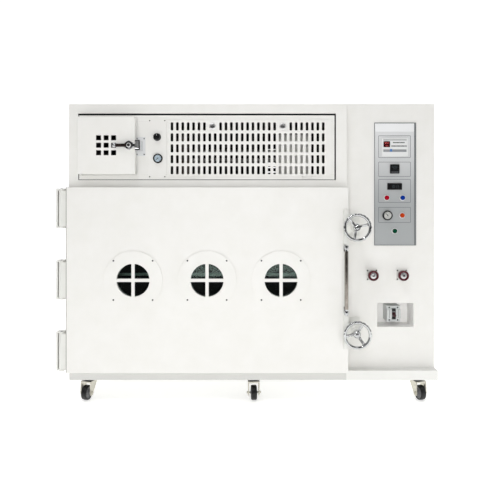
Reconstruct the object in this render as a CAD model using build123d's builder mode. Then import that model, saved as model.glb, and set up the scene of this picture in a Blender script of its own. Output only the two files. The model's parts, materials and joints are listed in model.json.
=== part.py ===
from build123d import *
import math
import os

os.makedirs("parts", exist_ok=True)

# A floor-standing vacuum oven.  Millimetres.  X runs to the right, Y from the front to the back
# and Z up.  The origin lies on the floor under the middle of the whole machine.

# ---- Driving sizes --------------------------------------------------------------------------
CAVITY_W = 1200.0
CAVITY_H = 720.0
CAVITY_D = 700.0
CHAMBER_WALL = 8.0
DOOR_LAP_SIDE = 107.0  # the door beyond the cavity at each side
DOOR_LAP_END = 105.5  # and above and below
DOOR_T = 42.0
DOOR_RISE = 2.0  # the door's lower edge above the base frame
DOOR_GAP = 8.0  # between the chamber's face and the shut door, filled by the gasket
DOOR_EDGE = 0.5  # the chamber section beyond the door at each side
BACK_ROOM = 192.0  # behind the chamber
BAY_H = 339.0  # height of the plant compartment's opening
BAND_TOP = 48.0  # front frame above the compartment
BAND_MIDDLE = 38.0  # front frame between the door and the compartment
BAND_LEFT = 47.0  # front frame beside the compartment
BAND_RIGHT = 55.0
CONTROL_W = 465.0  # width of the control section
STEP_BACK = 60.0  # the control section's face stands this far behind the chamber section's
ROOF_STEP = 11.0  # the control section's roof is this much higher
SHEET = 2.0  # sheet steel of every casing
FOLD = 25.0  # depth of the folded edge round each front sheet
JOINT_GAP = 2.0  # open joint between the two sections' fronts
CASTER_HEIGHT = 108.0
BASE_TUBE = 48.0
BASE_CORNER = 5.0

HINGE_REACH = 54.0  # the door hinges stand out this far from the cabinet's left side
WHEEL_REACH = 140.0  # the handwheels stand out this far from the chamber section's face
PORT_REACH = 60.0  # the vacuum port stands out this far from the back

DOOR_W = CAVITY_W + 2 * DOOR_LAP_SIDE
DOOR_H = CAVITY_H + 2 * DOOR_LAP_END
CHAMBER_SECTION = DOOR_W + 2 * DOOR_EDGE
WIDTH = CHAMBER_SECTION + CONTROL_W
DEPTH = CAVITY_D + CHAMBER_WALL + BACK_ROOM
BODY_HEIGHT = DOOR_RISE + DOOR_H + BAND_MIDDLE + BAY_H + BAND_TOP

LEFT_X = (HINGE_REACH - WIDTH) / 2
RIGHT_X = LEFT_X + WIDTH
MID_X = LEFT_X + WIDTH / 2
SPLIT_X = LEFT_X + CHAMBER_SECTION
FACE_Y = (WHEEL_REACH - DEPTH - PORT_REACH) / 2
PANEL_Y = FACE_Y + STEP_BACK
BACK_Y = FACE_Y + DEPTH
MID_Y = (FACE_Y + BACK_Y) / 2
FLOOR_Z = CASTER_HEIGHT + BASE_TUBE
ROOF_Z = FLOOR_Z + BODY_HEIGHT
CONTROL_ROOF_Z = ROOF_Z + ROOF_STEP

SLIDE = 0.3  # clearance between a moving piece and what it moves past
RUNNING = 0.05  # radial clearance of a pin in its bore


def facing(y):
    """A plane at depth y that faces the front: sketches on it read X and Z."""
    return Plane.XZ.offset(-y)


def keep(name, builder):
    """Label a finished piece and write it."""
    builder.part.label = name
    export_step(builder.part, f"parts/{name}.step")


def keep_welded(name, plates):
    """Label and write a weldment whose plates each stay a solid."""
    weldment = Compound(label=name, children=plates)
    export_step(weldment, f"parts/{name}.step")


def slab(x, y, z):
    """A rectangular plate, given by its low and high edge along each axis."""
    with BuildPart() as plate:
        with Locations(((x[0] + x[1]) / 2, (y[0] + y[1]) / 2, (z[0] + z[1]) / 2)):
            Box(x[1] - x[0], y[1] - y[0], z[1] - z[0])
    return plate.part


# ---- Base frame -----------------------------------------------------------------------------
POCKET_W = (WIDTH - 3 * BASE_TUBE) / 2
POCKET_D = DEPTH - 2 * BASE_TUBE
POCKET_X = (POCKET_W + BASE_TUBE) / 2

with BuildPart() as base_frame:
    with BuildSketch(Plane.XY.offset(CASTER_HEIGHT)):
        with Locations((MID_X, MID_Y)):
            Rectangle(WIDTH, DEPTH)
    extrude(amount=BASE_TUBE)
    fillet(base_frame.edges().filter_by(Axis.Z), BASE_CORNER)
    with BuildSketch(Plane.XY.offset(CASTER_HEIGHT)):
        with Locations((MID_X - POCKET_X, MID_Y), (MID_X + POCKET_X, MID_Y)):
            Rectangle(POCKET_W, POCKET_D)
    extrude(amount=BASE_TUBE - SHEET, mode=Mode.SUBTRACT)
keep("base_frame", base_frame)

# ---- Casters --------------------------------------------------------------------------------
CASTER_INSET = 90.0  # from the cabinet's end to the end casters' swivel axes
CASTER_SETBACK = 52.0  # from the front and back faces to the swivel axes
CASTER_PLATE = 78.0
PLATE_T = 4.0
RACE_R = 24.0
RACE_H = 9.0
CROWN_H = 8.0
WHEEL_R = 37.5
WHEEL_W = 30.0
HUB_W = 34.0
FORK_W = 58.0  # across the outside of the legs
FORK_LEG = 5.0
LEG_R = 15.0
TRAIL = 26.0
AXLE_R = 5.0
KINGPIN_R = 7.0
FRONT_TURNS = {"left": -14.0, "middle": 4.0, "right": 15.0}  # degrees each front caster is turned
CASTER_X = {
    "left": LEFT_X + CASTER_INSET,
    "middle": MID_X,
    "right": RIGHT_X - CASTER_INSET,
}
FRONT_CASTER_Y = FACE_Y + CASTER_SETBACK
REAR_CASTER_Y = BACK_Y - CASTER_SETBACK
CROWN_TOP = CASTER_HEIGHT - PLATE_T - RACE_H
CROWN_Z = CROWN_TOP - CROWN_H


def fork_frame(x, y, turn):
    """Frame of one caster on its swivel axis: X across the wheel, Y from the wheel to the pin."""
    return Plane(Location((x, y, 0), (0, 0, turn)))


def side_of(frame, x):
    """Plane across a caster at distance x from its middle: sketches on it read Y and Z."""
    return Plane(origin=frame.from_local_coords((x, 0, 0)), x_dir=frame.y_dir, z_dir=frame.x_dir)


def fork_legs(frame):
    """Two tapered legs from the crown to the axle, with the axle between them."""
    for x in (-FORK_W / 2, FORK_W / 2 - FORK_LEG):
        with BuildSketch(side_of(frame, x)) as leg:
            with BuildLine():
                Polyline(
                    (-RACE_R - TRAIL / 2, CROWN_TOP),
                    (RACE_R, CROWN_TOP),
                    (RACE_R - 2, CROWN_Z - 6),
                    (-TRAIL + LEG_R, WHEEL_R - 2),
                    (-TRAIL + LEG_R / 2, WHEEL_R - LEG_R),
                    (-TRAIL - LEG_R / 2, WHEEL_R - LEG_R),
                    (-TRAIL - LEG_R, WHEEL_R - 2),
                    close=True,
                )
            make_face()
        extrude(leg.sketch, amount=FORK_LEG)
    with BuildSketch(side_of(frame, -FORK_W / 2)) as axle:
        with Locations((-TRAIL, WHEEL_R)):
            Circle(AXLE_R)
    extrude(axle.sketch, amount=FORK_W)


def crown(frame):
    """The flat crown that joins the two legs under the swivel race."""
    with BuildSketch(frame.offset(CROWN_Z)) as outline:
        with Locations((0, -TRAIL / 4)):
            Rectangle(FORK_W, 2 * RACE_R + TRAIL / 2)
    extrude(outline.sketch, amount=CROWN_H)


with BuildPart() as caster_plates:
    for caster_x in CASTER_X.values():
        with BuildSketch(Plane.XY.offset(CASTER_HEIGHT - PLATE_T)):
            with Locations((caster_x, FRONT_CASTER_Y)):
                Rectangle(CASTER_PLATE, CASTER_PLATE)
        extrude(amount=PLATE_T)
        with BuildSketch(Plane.XY.offset(CROWN_TOP + SLIDE)):
            with Locations((caster_x, FRONT_CASTER_Y)):
                Circle(RACE_R)
                Circle(KINGPIN_R + RUNNING, mode=Mode.SUBTRACT)
        extrude(amount=RACE_H - SLIDE)
keep("caster_plates", caster_plates)

for place, turn in FRONT_TURNS.items():
    swivel = fork_frame(CASTER_X[place], FRONT_CASTER_Y, turn)
    with BuildPart() as caster_fork:
        crown(swivel)
        fork_legs(swivel)
        with BuildSketch(swivel.offset(CROWN_TOP)):
            Circle(KINGPIN_R)
        extrude(amount=RACE_H)
    keep(f"caster_fork_{place}", caster_fork)

with BuildPart() as rear_caster_forks:
    for caster_x in CASTER_X.values():
        rigid = fork_frame(caster_x, REAR_CASTER_Y + TRAIL, 0)
        crown(rigid)
        fork_legs(rigid)
        with BuildSketch(Plane.XY.offset(CROWN_TOP)):
            with Locations((caster_x, REAR_CASTER_Y + TRAIL / 2)):
                Rectangle(FORK_W, RACE_R * 2)
        extrude(amount=RACE_H)
        with BuildSketch(Plane.XY.offset(CASTER_HEIGHT - PLATE_T)):
            with Locations((caster_x, REAR_CASTER_Y)):
                Rectangle(CASTER_PLATE, CASTER_PLATE)
        extrude(amount=PLATE_T)
keep("rear_caster_forks", rear_caster_forks)


def caster_wheel(frame):
    """A moulded wheel with its hub, bored for the axle."""
    hub = side_of(frame, 0).offset(-HUB_W / 2)
    with BuildPart() as wheel:
        with BuildSketch(hub):
            with Locations((-TRAIL, WHEEL_R)):
                Circle(AXLE_R + 6)
        extrude(amount=HUB_W)
        with BuildSketch(hub.offset((HUB_W - WHEEL_W) / 2)):
            with Locations((-TRAIL, WHEEL_R)):
                Circle(WHEEL_R)
        extrude(amount=WHEEL_W)
        with BuildSketch(hub):
            with Locations((-TRAIL, WHEEL_R)):
                Circle(AXLE_R + RUNNING)
        extrude(amount=HUB_W, mode=Mode.SUBTRACT)
    return wheel


for place, turn in FRONT_TURNS.items():
    keep(
        f"caster_wheel_front_{place}",
        caster_wheel(fork_frame(CASTER_X[place], FRONT_CASTER_Y, turn)),
    )
for place, caster_x in CASTER_X.items():
    keep(
        f"caster_wheel_rear_{place}",
        caster_wheel(fork_frame(caster_x, REAR_CASTER_Y + TRAIL, 0)),
    )

# ---- Vacuum chamber -------------------------------------------------------------------------
DOOR_X = LEFT_X + CHAMBER_SECTION / 2
DOOR_Z = FLOOR_Z + DOOR_RISE + DOOR_H / 2
DOOR_BACK = FACE_Y - DOOR_GAP
DOOR_FRONT = DOOR_BACK - DOOR_T

FLANGE = 50.0  # mouth flange beyond the cavity on every side
FLANGE_T = 16.0
PORT_R = 25.0
PORT_WALL = 3.0
PORT_LIP_R = 37.5
PORT_LIP_T = 6.0
PORT_Z = DOOR_Z + 180.0
SHELF_ROOM = 346.5  # over the upper shelf
SHELF_PITCH = 240.0
RAIL_T = 3.0
RAIL_W = 24.0
RAIL_END = 30.0
CAVITY_BACK = FACE_Y + CAVITY_D
CHAMBER_BACK = CAVITY_BACK + CHAMBER_WALL
UPPER_SHELF = DOOR_Z + CAVITY_H / 2 - SHELF_ROOM
SHELF_LEVELS = [UPPER_SHELF - SHELF_PITCH, UPPER_SHELF]

CAVITY_X = (DOOR_X - CAVITY_W / 2, DOOR_X + CAVITY_W / 2)
CAVITY_Z = (DOOR_Z - CAVITY_H / 2, DOOR_Z + CAVITY_H / 2)
OUTER_X = (CAVITY_X[0] - CHAMBER_WALL, CAVITY_X[1] + CHAMBER_WALL)
OUTER_Z = (CAVITY_Z[0] - CHAMBER_WALL, CAVITY_Z[1] + CHAMBER_WALL)
MOUTH_X = (CAVITY_X[0] - FLANGE, CAVITY_X[1] + FLANGE)
MOUTH_Z = (CAVITY_Z[0] - FLANGE, CAVITY_Z[1] + FLANGE)

# side walls, roof and floor of the chamber
wall_y = (FACE_Y, CHAMBER_BACK)
chamber_plates = [
    slab((OUTER_X[0], CAVITY_X[0]), wall_y, OUTER_Z),
    slab((CAVITY_X[1], OUTER_X[1]), wall_y, OUTER_Z),
    slab(CAVITY_X, wall_y, (OUTER_Z[0], CAVITY_Z[0])),
    slab(CAVITY_X, wall_y, (CAVITY_Z[1], OUTER_Z[1])),
]
# four bars of the mouth flange, which the gasket bears on
flange_y = (FACE_Y, FACE_Y + FLANGE_T)
chamber_plates += [
    slab((MOUTH_X[0], OUTER_X[0]), flange_y, OUTER_Z),
    slab((OUTER_X[1], MOUTH_X[1]), flange_y, OUTER_Z),
    slab(MOUTH_X, flange_y, (MOUTH_Z[0], OUTER_Z[0])),
    slab(MOUTH_X, flange_y, (OUTER_Z[1], MOUTH_Z[1])),
]
# shelf rails
for level in SHELF_LEVELS:
    for rail_x in (
        (CAVITY_X[0], CAVITY_X[0] + RAIL_W),
        (CAVITY_X[1] - RAIL_W, CAVITY_X[1]),
    ):
        rail_y = (FACE_Y + RAIL_END, CAVITY_BACK - RAIL_END)
        chamber_plates.append(slab(rail_x, rail_y, (level - RAIL_T, level)))

with BuildPart() as back_plate:
    with BuildSketch(facing(CHAMBER_BACK)):
        with Locations((DOOR_X, DOOR_Z)):
            Rectangle(CAVITY_W, CAVITY_H)
        with Locations((DOOR_X, PORT_Z)):
            Circle(PORT_R + PORT_WALL, mode=Mode.SUBTRACT)
    extrude(amount=CHAMBER_WALL)

with BuildPart() as port_tube:
    port_end = facing(BACK_Y + PORT_REACH)
    with BuildSketch(port_end):
        with Locations((DOOR_X, PORT_Z)):
            Circle(PORT_R + PORT_WALL)
    extrude(amount=BACK_Y + PORT_REACH - CAVITY_BACK)
    with BuildSketch(port_end):
        with Locations((DOOR_X, PORT_Z)):
            Circle(PORT_LIP_R)
    extrude(amount=PORT_LIP_T)
    with BuildSketch(port_end):
        with Locations((DOOR_X, PORT_Z)):
            Circle(PORT_R)
    extrude(amount=BACK_Y + PORT_REACH - CAVITY_BACK, mode=Mode.SUBTRACT)
keep_welded("vacuum_chamber", chamber_plates + [back_plate.part, port_tube.part])

GASKET_W = 20.0
GASKET_INSET = 12.0  # gasket from the cavity's edge

with BuildPart() as chamber_gasket:
    with BuildSketch(facing(FACE_Y)):
        with Locations((DOOR_X, DOOR_Z)):
            RectangleRounded(
                CAVITY_W + 2 * (GASKET_INSET + GASKET_W),
                CAVITY_H + 2 * (GASKET_INSET + GASKET_W),
                GASKET_W + 5,
            )
            RectangleRounded(
                CAVITY_W + 2 * GASKET_INSET, CAVITY_H + 2 * GASKET_INSET, 5, mode=Mode.SUBTRACT
            )
    extrude(amount=DOOR_GAP - SLIDE)
keep("chamber_gasket", chamber_gasket)

SHELF_RIM = 14.0
SHELF_SIDE_GAP = 3.0
SHELF_SHEET = 2.0

with BuildPart() as shelves:
    for level in SHELF_LEVELS:
        with BuildSketch(Plane.XY.offset(level)):
            with Locations((DOOR_X, FACE_Y + CAVITY_D / 2)):
                Rectangle(CAVITY_W - 2 * SHELF_SIDE_GAP, CAVITY_D - 2 * RAIL_END)
        extrude(amount=SHELF_RIM)
        with BuildSketch(Plane.XY.offset(level + SHELF_SHEET)):
            with Locations((DOOR_X, FACE_Y + CAVITY_D / 2)):
                Rectangle(
                    CAVITY_W - 2 * (SHELF_SIDE_GAP + SHELF_SHEET),
                    CAVITY_D - 2 * (RAIL_END + SHELF_SHEET),
                )
        extrude(amount=SHELF_RIM - SHELF_SHEET, mode=Mode.SUBTRACT)
keep("shelves", shelves)

HEATER_T = 6.0
HEATER_EDGE = 60.0  # bare margin round each heater pad

with BuildPart() as wall_heaters:
    heater_y = (FACE_Y + FLANGE_T + CHAMBER_BACK) / 2
    heater_d = CHAMBER_BACK - FACE_Y - FLANGE_T - 2 * HEATER_EDGE
    wall_x = CAVITY_W / 2 + CHAMBER_WALL + HEATER_T / 2
    wall_z = CAVITY_H / 2 + CHAMBER_WALL + HEATER_T / 2
    with Locations((DOOR_X - wall_x, heater_y, DOOR_Z), (DOOR_X + wall_x, heater_y, DOOR_Z)):
        Box(HEATER_T, heater_d, CAVITY_H - 2 * HEATER_EDGE)
    with Locations((DOOR_X, heater_y, DOOR_Z - wall_z), (DOOR_X, heater_y, DOOR_Z + wall_z)):
        Box(CAVITY_W - 2 * HEATER_EDGE, heater_d, HEATER_T)
keep("wall_heaters", wall_heaters)

DECK_Z = DOOR_Z + DOOR_H / 2 + 12.0  # deck of the plant compartment, above the chamber
LAGGING_Y = FACE_Y + FLANGE_T + 2.0
LAGGING_BACK = BACK_Y - SHEET
LAGGING_ROOM = CHAMBER_WALL + HEATER_T + 1.0  # round the chamber and its heaters

with BuildPart() as insulation:
    with BuildSketch(facing(LAGGING_BACK)):
        with Locations((DOOR_X, (FLOOR_Z + DECK_Z) / 2)):
            Rectangle(CHAMBER_SECTION - 2 * SHEET - 2, DECK_Z - FLOOR_Z - 2)
    extrude(amount=LAGGING_BACK - LAGGING_Y - FOLD)
    with BuildSketch(facing(CHAMBER_BACK + 1)):
        with Locations((DOOR_X, DOOR_Z)):
            Rectangle(CAVITY_W + 2 * LAGGING_ROOM, CAVITY_H + 2 * LAGGING_ROOM)
    extrude(amount=CHAMBER_BACK + 1 - LAGGING_Y, mode=Mode.SUBTRACT)
    with BuildSketch(facing(BACK_Y)):
        with Locations((DOOR_X, PORT_Z)):
            Circle(PORT_R + PORT_WALL + 1)
    extrude(amount=BACK_Y - CHAMBER_BACK, mode=Mode.SUBTRACT)
keep("insulation", insulation)

# ---- Casings --------------------------------------------------------------------------------
BAY_W = CHAMBER_SECTION - BAND_LEFT - BAND_RIGHT
BAY_X = LEFT_X + BAND_LEFT + BAY_W / 2
BAY_Z = ROOF_Z - BAND_TOP - BAY_H / 2
BAY_FOLD = 20.0
BAY_LIP = 15.0
CONTROL_FLANGE = 30.0  # the control roof's fold down over the chamber section
FLANGE_ROOM = 1.0  # round the chamber's mouth flange

with BuildPart() as left_casing:
    casing_y = FACE_Y + FOLD
    with BuildSketch(facing(casing_y)):
        with Locations((DOOR_X, FLOOR_Z + BODY_HEIGHT / 2)):
            Rectangle(CHAMBER_SECTION, BODY_HEIGHT)
        with Locations((DOOR_X, (FLOOR_Z + DECK_Z) / 2)):
            Rectangle(CHAMBER_SECTION - 2 * SHEET, DECK_Z - FLOOR_Z, mode=Mode.SUBTRACT)
        with Locations((DOOR_X, (DECK_Z + ROOF_Z) / 2)):
            Rectangle(
                CHAMBER_SECTION - 2 * SHEET, ROOF_Z - DECK_Z - 2 * SHEET, mode=Mode.SUBTRACT
            )
    extrude(amount=casing_y - BACK_Y + SHEET)
keep("left_casing", left_casing)

with BuildPart() as control_casing:
    casing_y = PANEL_Y + FOLD
    with BuildSketch(facing(casing_y)):
        with Locations((RIGHT_X - SHEET / 2, (FLOOR_Z + CONTROL_ROOF_Z) / 2)):
            Rectangle(SHEET, CONTROL_ROOF_Z - FLOOR_Z)
        with Locations((SPLIT_X + CONTROL_W / 2, CONTROL_ROOF_Z - SHEET / 2)):
            Rectangle(CONTROL_W, SHEET)
        with Locations((SPLIT_X + SHEET / 2, CONTROL_ROOF_Z - CONTROL_FLANGE / 2)):
            Rectangle(SHEET, CONTROL_FLANGE)
    extrude(amount=casing_y - BACK_Y + SHEET)
keep("control_casing", control_casing)

GLAND_R = 6.0
GLAND_BODY_R = 13.0
GLAND_THREAD_R = 10.0
GLAND_NUT_T = 16.0
GLAND_REACH = 28.0  # behind the rear panel
GLAND_TAIL = 10.0  # inside it
GLAND_X = RIGHT_X - 110.0
GLAND_Z = FLOOR_Z + 150.0
LOUVRE_W = 150.0
LOUVRE_H = 8.0
LOUVRE_PITCH = 30.0
LOUVRE_COUNT = 6
LOUVRE_SPREAD = 400.0  # from the chamber section's middle to its two louvre groups
LOUVRE_DROP = 300.0  # roof to the control section's louvre group

with BuildPart() as rear_panel:
    with BuildSketch(facing(BACK_Y)):
        with Locations((MID_X, FLOOR_Z + BODY_HEIGHT / 2)):
            Rectangle(WIDTH, BODY_HEIGHT)
        with Locations((SPLIT_X + CONTROL_W / 2, (FLOOR_Z + CONTROL_ROOF_Z) / 2)):
            Rectangle(CONTROL_W, CONTROL_ROOF_Z - FLOOR_Z)
        with Locations((DOOR_X, PORT_Z)):
            Circle(PORT_R + PORT_WALL + 2, mode=Mode.SUBTRACT)
        with Locations((GLAND_X, GLAND_Z)):
            Circle(GLAND_THREAD_R + RUNNING, mode=Mode.SUBTRACT)
        for louvre_x, louvre_z in (
            (SPLIT_X + CONTROL_W / 2, ROOF_Z - LOUVRE_DROP),
            (DOOR_X - LOUVRE_SPREAD, BAY_Z),
            (DOOR_X + LOUVRE_SPREAD, BAY_Z),
        ):
            with Locations((louvre_x, louvre_z)):
                with GridLocations(0, LOUVRE_PITCH, 1, LOUVRE_COUNT):
                    Rectangle(LOUVRE_W, LOUVRE_H, mode=Mode.SUBTRACT)
    extrude(amount=SHEET)
keep("rear_panel", rear_panel)

with BuildPart() as cable_gland:
    with BuildSketch(facing(BACK_Y + GLAND_NUT_T)):
        with Locations((GLAND_X, GLAND_Z)):
            RegularPolygon(GLAND_BODY_R, 6)
    extrude(amount=GLAND_NUT_T)
    with BuildSketch(facing(BACK_Y + GLAND_REACH)):
        with Locations((GLAND_X, GLAND_Z)):
            Circle(GLAND_THREAD_R)
    extrude(amount=GLAND_REACH + GLAND_TAIL)
    with BuildSketch(facing(BACK_Y + GLAND_REACH)):
        with Locations((GLAND_X, GLAND_Z)):
            Circle(GLAND_R)
    extrude(amount=GLAND_REACH + GLAND_TAIL, mode=Mode.SUBTRACT)
keep("cable_gland", cable_gland)

with BuildPart() as front_frame:
    with BuildSketch(facing(FACE_Y)):
        with Locations((DOOR_X, FLOOR_Z + BODY_HEIGHT / 2)):
            Rectangle(CHAMBER_SECTION, BODY_HEIGHT)
    extrude(amount=-FOLD)
    with BuildSketch(facing(FACE_Y + FOLD)):
        with Locations((DOOR_X, FLOOR_Z + BODY_HEIGHT / 2)):
            Rectangle(CHAMBER_SECTION - 2 * SHEET, BODY_HEIGHT - 2 * SHEET)
    extrude(amount=FOLD - SHEET, mode=Mode.SUBTRACT)
    with BuildSketch(facing(FACE_Y)):
        with Locations((BAY_X, BAY_Z)):
            Rectangle(BAY_W + 2 * SHEET, BAY_H + 2 * SHEET)
    extrude(amount=-BAY_FOLD)
    with BuildSketch(facing(FACE_Y)):
        with Locations((BAY_X, BAY_Z)):
            Rectangle(BAY_W, BAY_H)
    extrude(amount=-BAY_FOLD + SHEET, mode=Mode.SUBTRACT)
    with BuildSketch(facing(FACE_Y)):
        with Locations((BAY_X, BAY_Z)):
            Rectangle(BAY_W - 2 * BAY_LIP, BAY_H - 2 * BAY_LIP)
    extrude(amount=-BAY_FOLD, mode=Mode.SUBTRACT)
    with BuildSketch(facing(FACE_Y)):
        with Locations((DOOR_X, DOOR_Z)):
            Rectangle(
                CAVITY_W + 2 * (FLANGE + FLANGE_ROOM), CAVITY_H + 2 * (FLANGE + FLANGE_ROOM)
            )
    extrude(amount=-FOLD, mode=Mode.SUBTRACT)
keep("front_frame", front_frame)

# ---- Door -----------------------------------------------------------------------------------
DOOR_CORNER = 6.0
INNER_EDGE = 18.0  # the shell's back edge beyond the inner plate
INNER_T = 12.0
VIEW_PITCH = 370.0
VIEW_R = 82.5
GLASS_R = 102.0
GLASS_T = 19.0
GLASS_FIT = 1.0  # radial room round the glass
VIEW_FLANGE_R = 147.5
VIEW_FLANGE_T = 5.0
GUARD_BAR = 16.5
VIEWS = [(DOOR_X + k * VIEW_PITCH, DOOR_Z) for k in (-1, 0, 1)]
GLASS_BACK = DOOR_BACK - INNER_T
GLASS_FRONT = GLASS_BACK - GLASS_T

with BuildPart() as door_shell:
    with BuildSketch(facing(DOOR_BACK)):
        with Locations((DOOR_X, DOOR_Z)):
            RectangleRounded(DOOR_W, DOOR_H, DOOR_CORNER)
    extrude(amount=DOOR_T)
    chamfer(door_shell.faces().sort_by(Axis.Y)[0].edges(), 1.5)
    with BuildSketch(facing(DOOR_BACK)):
        with Locations((DOOR_X, DOOR_Z)):
            Rectangle(DOOR_W - 2 * INNER_EDGE, DOOR_H - 2 * INNER_EDGE)
    extrude(amount=DOOR_T - SHEET, mode=Mode.SUBTRACT)
    with BuildSketch(facing(DOOR_BACK)):
        with Locations(VIEWS):
            Circle(GLASS_R + GLASS_FIT)
    extrude(amount=DOOR_T, mode=Mode.SUBTRACT)
keep("door_shell", door_shell)

with BuildPart() as door_inner_plate:
    with BuildSketch(facing(DOOR_BACK)):
        with Locations((DOOR_X, DOOR_Z)):
            Rectangle(DOOR_W - 2 * INNER_EDGE, DOOR_H - 2 * INNER_EDGE)
        with Locations(VIEWS):
            Circle(VIEW_R, mode=Mode.SUBTRACT)
    extrude(amount=INNER_T)
keep("door_inner_plate", door_inner_plate)

with BuildPart() as viewport_glasses:
    with BuildSketch(facing(GLASS_BACK)):
        with Locations(VIEWS):
            Circle(GLASS_R)
    extrude(amount=GLASS_T)
keep("viewport_glasses", viewport_glasses)

with BuildPart() as viewport_flanges:
    with BuildSketch(facing(DOOR_FRONT)):
        with Locations(VIEWS):
            Circle(VIEW_FLANGE_R)
    extrude(amount=VIEW_FLANGE_T)
    with BuildSketch(facing(GLASS_FRONT)):
        with Locations(VIEWS):
            Circle(GLASS_R)
    extrude(amount=GLASS_FRONT - DOOR_FRONT)
    with BuildSketch(facing(GLASS_FRONT)):
        with Locations(VIEWS):
            Circle(VIEW_R)
    extrude(amount=GLASS_FRONT - DOOR_FRONT + VIEW_FLANGE_T, mode=Mode.SUBTRACT)
    with BuildSketch(facing(DOOR_FRONT)):
        with Locations(VIEWS):
            Rectangle(2 * VIEW_R + 4, GUARD_BAR)
            Rectangle(GUARD_BAR, 2 * VIEW_R + 4)
    extrude(amount=VIEW_FLANGE_T)
keep("viewport_flanges", viewport_flanges)

# ---- Door hinges ----------------------------------------------------------------------------
HINGE_H = 198.0
HINGE_INSET = 106.0  # from the door's top and bottom edges to the outer hinges' middles
BARREL_R = 14.0
CHEEK_T = 8.0
CHEEK_GAP = 5.0
CHEEK_FRONT = 3.0  # the cheek stops this far in front of the pin, so that the door opens wide
WEB_SET = 6.0  # the web behind the cabinet's face
EAR_T = 9.0
HINGE_PIN_R = 6.0
BRACKET_T = 6.0
BRACKET_D = 56.0
HINGE_Z = [
    DOOR_Z - DOOR_H / 2 + HINGE_INSET,
    DOOR_Z,
    DOOR_Z + DOOR_H / 2 - HINGE_INSET,
]
PIN_X = LEFT_X - HINGE_REACH + CHEEK_T + CHEEK_GAP + BARREL_R
PIN_Y = (DOOR_BACK + DOOR_FRONT) / 2
DOOR_LEFT = DOOR_X - DOOR_W / 2
LEAF_H = HINGE_H - 2 * EAR_T - 2 * SLIDE

with BuildPart() as door_hinge_leaves:
    for hinge_z in HINGE_Z:
        with BuildSketch(Plane.XY.offset(hinge_z - LEAF_H / 2)):
            with Locations((PIN_X, PIN_Y)):
                Circle(BARREL_R)
            with Locations(((PIN_X + DOOR_LEFT) / 2, PIN_Y)):
                Rectangle(DOOR_LEFT - PIN_X, 2 * BARREL_R)
            with Locations((PIN_X, PIN_Y)):
                Circle(HINGE_PIN_R + RUNNING, mode=Mode.SUBTRACT)
        extrude(amount=LEAF_H)
keep("door_hinge_leaves", door_hinge_leaves)

with BuildPart() as cabinet_hinge_leaves:
    outer_x = LEFT_X - HINGE_REACH
    cheek_y = PIN_Y - CHEEK_FRONT
    web_y = FACE_Y + WEB_SET
    ear_x = PIN_X + BARREL_R
    for hinge_z in HINGE_Z:
        # cheek outside, web behind, mounting flange on the cabinet's side
        with BuildSketch(Plane.XY.offset(hinge_z - HINGE_H / 2)):
            with Locations((outer_x + CHEEK_T / 2, (cheek_y + web_y + BRACKET_T) / 2)):
                Rectangle(CHEEK_T, web_y + BRACKET_T - cheek_y)
            with Locations(((outer_x + LEFT_X) / 2, web_y + BRACKET_T / 2)):
                Rectangle(LEFT_X - outer_x, BRACKET_T)
            with Locations((LEFT_X - BRACKET_T / 2, web_y + BRACKET_D / 2)):
                Rectangle(BRACKET_T, BRACKET_D)
        extrude(amount=HINGE_H)
        # ears above and below the door's barrel, drilled for the pin
        for ear_z in (hinge_z - HINGE_H / 2, hinge_z + HINGE_H / 2 - EAR_T):
            with BuildSketch(Plane.XY.offset(ear_z)):
                with Locations(((outer_x + PIN_X) / 2, (cheek_y + web_y) / 2)):
                    Rectangle(PIN_X - outer_x, web_y - cheek_y)
                with Locations(((PIN_X + ear_x) / 2, (PIN_Y + web_y) / 2)):
                    Rectangle(ear_x - PIN_X, web_y - PIN_Y)
                with Locations((PIN_X, PIN_Y)):
                    Circle(BARREL_R)
                    Circle(HINGE_PIN_R, mode=Mode.SUBTRACT)
            extrude(amount=EAR_T)
keep("cabinet_hinge_leaves", cabinet_hinge_leaves)

with BuildPart() as hinge_pins:
    for hinge_z in HINGE_Z:
        with BuildSketch(Plane.XY.offset(hinge_z - HINGE_H / 2)):
            with Locations((PIN_X, PIN_Y)):
                Circle(HINGE_PIN_R)
        extrude(amount=HINGE_H + 2)
keep("hinge_pins", hinge_pins)

# ---- Door clamps ----------------------------------------------------------------------------
CLAMP_X = SPLIT_X + 30.0
CLAMP_INSET = [209.0, 199.0]  # from the door's bottom and top edges to the clamps
CLAMP_Z = [DOOR_Z - DOOR_H / 2 + CLAMP_INSET[0], DOOR_Z + DOOR_H / 2 - CLAMP_INSET[1]]
SCREW_R = 8.0
SCREW_NOSE = 6.0  # the screw's nose past the chamber section's face
LUG_H = 172.0
LUG_FOOT_W = 26.0
LUG_T = 10.0
LUG_ARM_H = 62.0
BOSS_R = 22.0
BOSS_T = 30.0
RECEIVER_R = 24.0
RECEIVER_BORE = 10.0
RECEIVER_GAP = 10.0  # between the receiver's end and the lug
RECEIVER_FOOT = 70.0
RECEIVER_FOOT_T = 6.0
RIM_R = 62.0  # centre line of the handwheel's rim
RIM_HALF = 8.0
RIM_CUT = 4.0
HUB_R = 18.0
HUB_BACK = 100.0  # in front of the chamber section's face
SPOKE_W = 15.0
SPOKE_T = 8.0
SPOKE_START = 12.0  # spokes leave the hub this far in front of its back
HUB_SET = 12.0  # the hub's face behind the rim's front
CAP_NUT_R = 11.0
CAP_NUT_H = 8.0
DOOR_RIGHT = DOOR_X + DOOR_W / 2
LUG_FRONT = DOOR_FRONT - LUG_T

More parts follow.
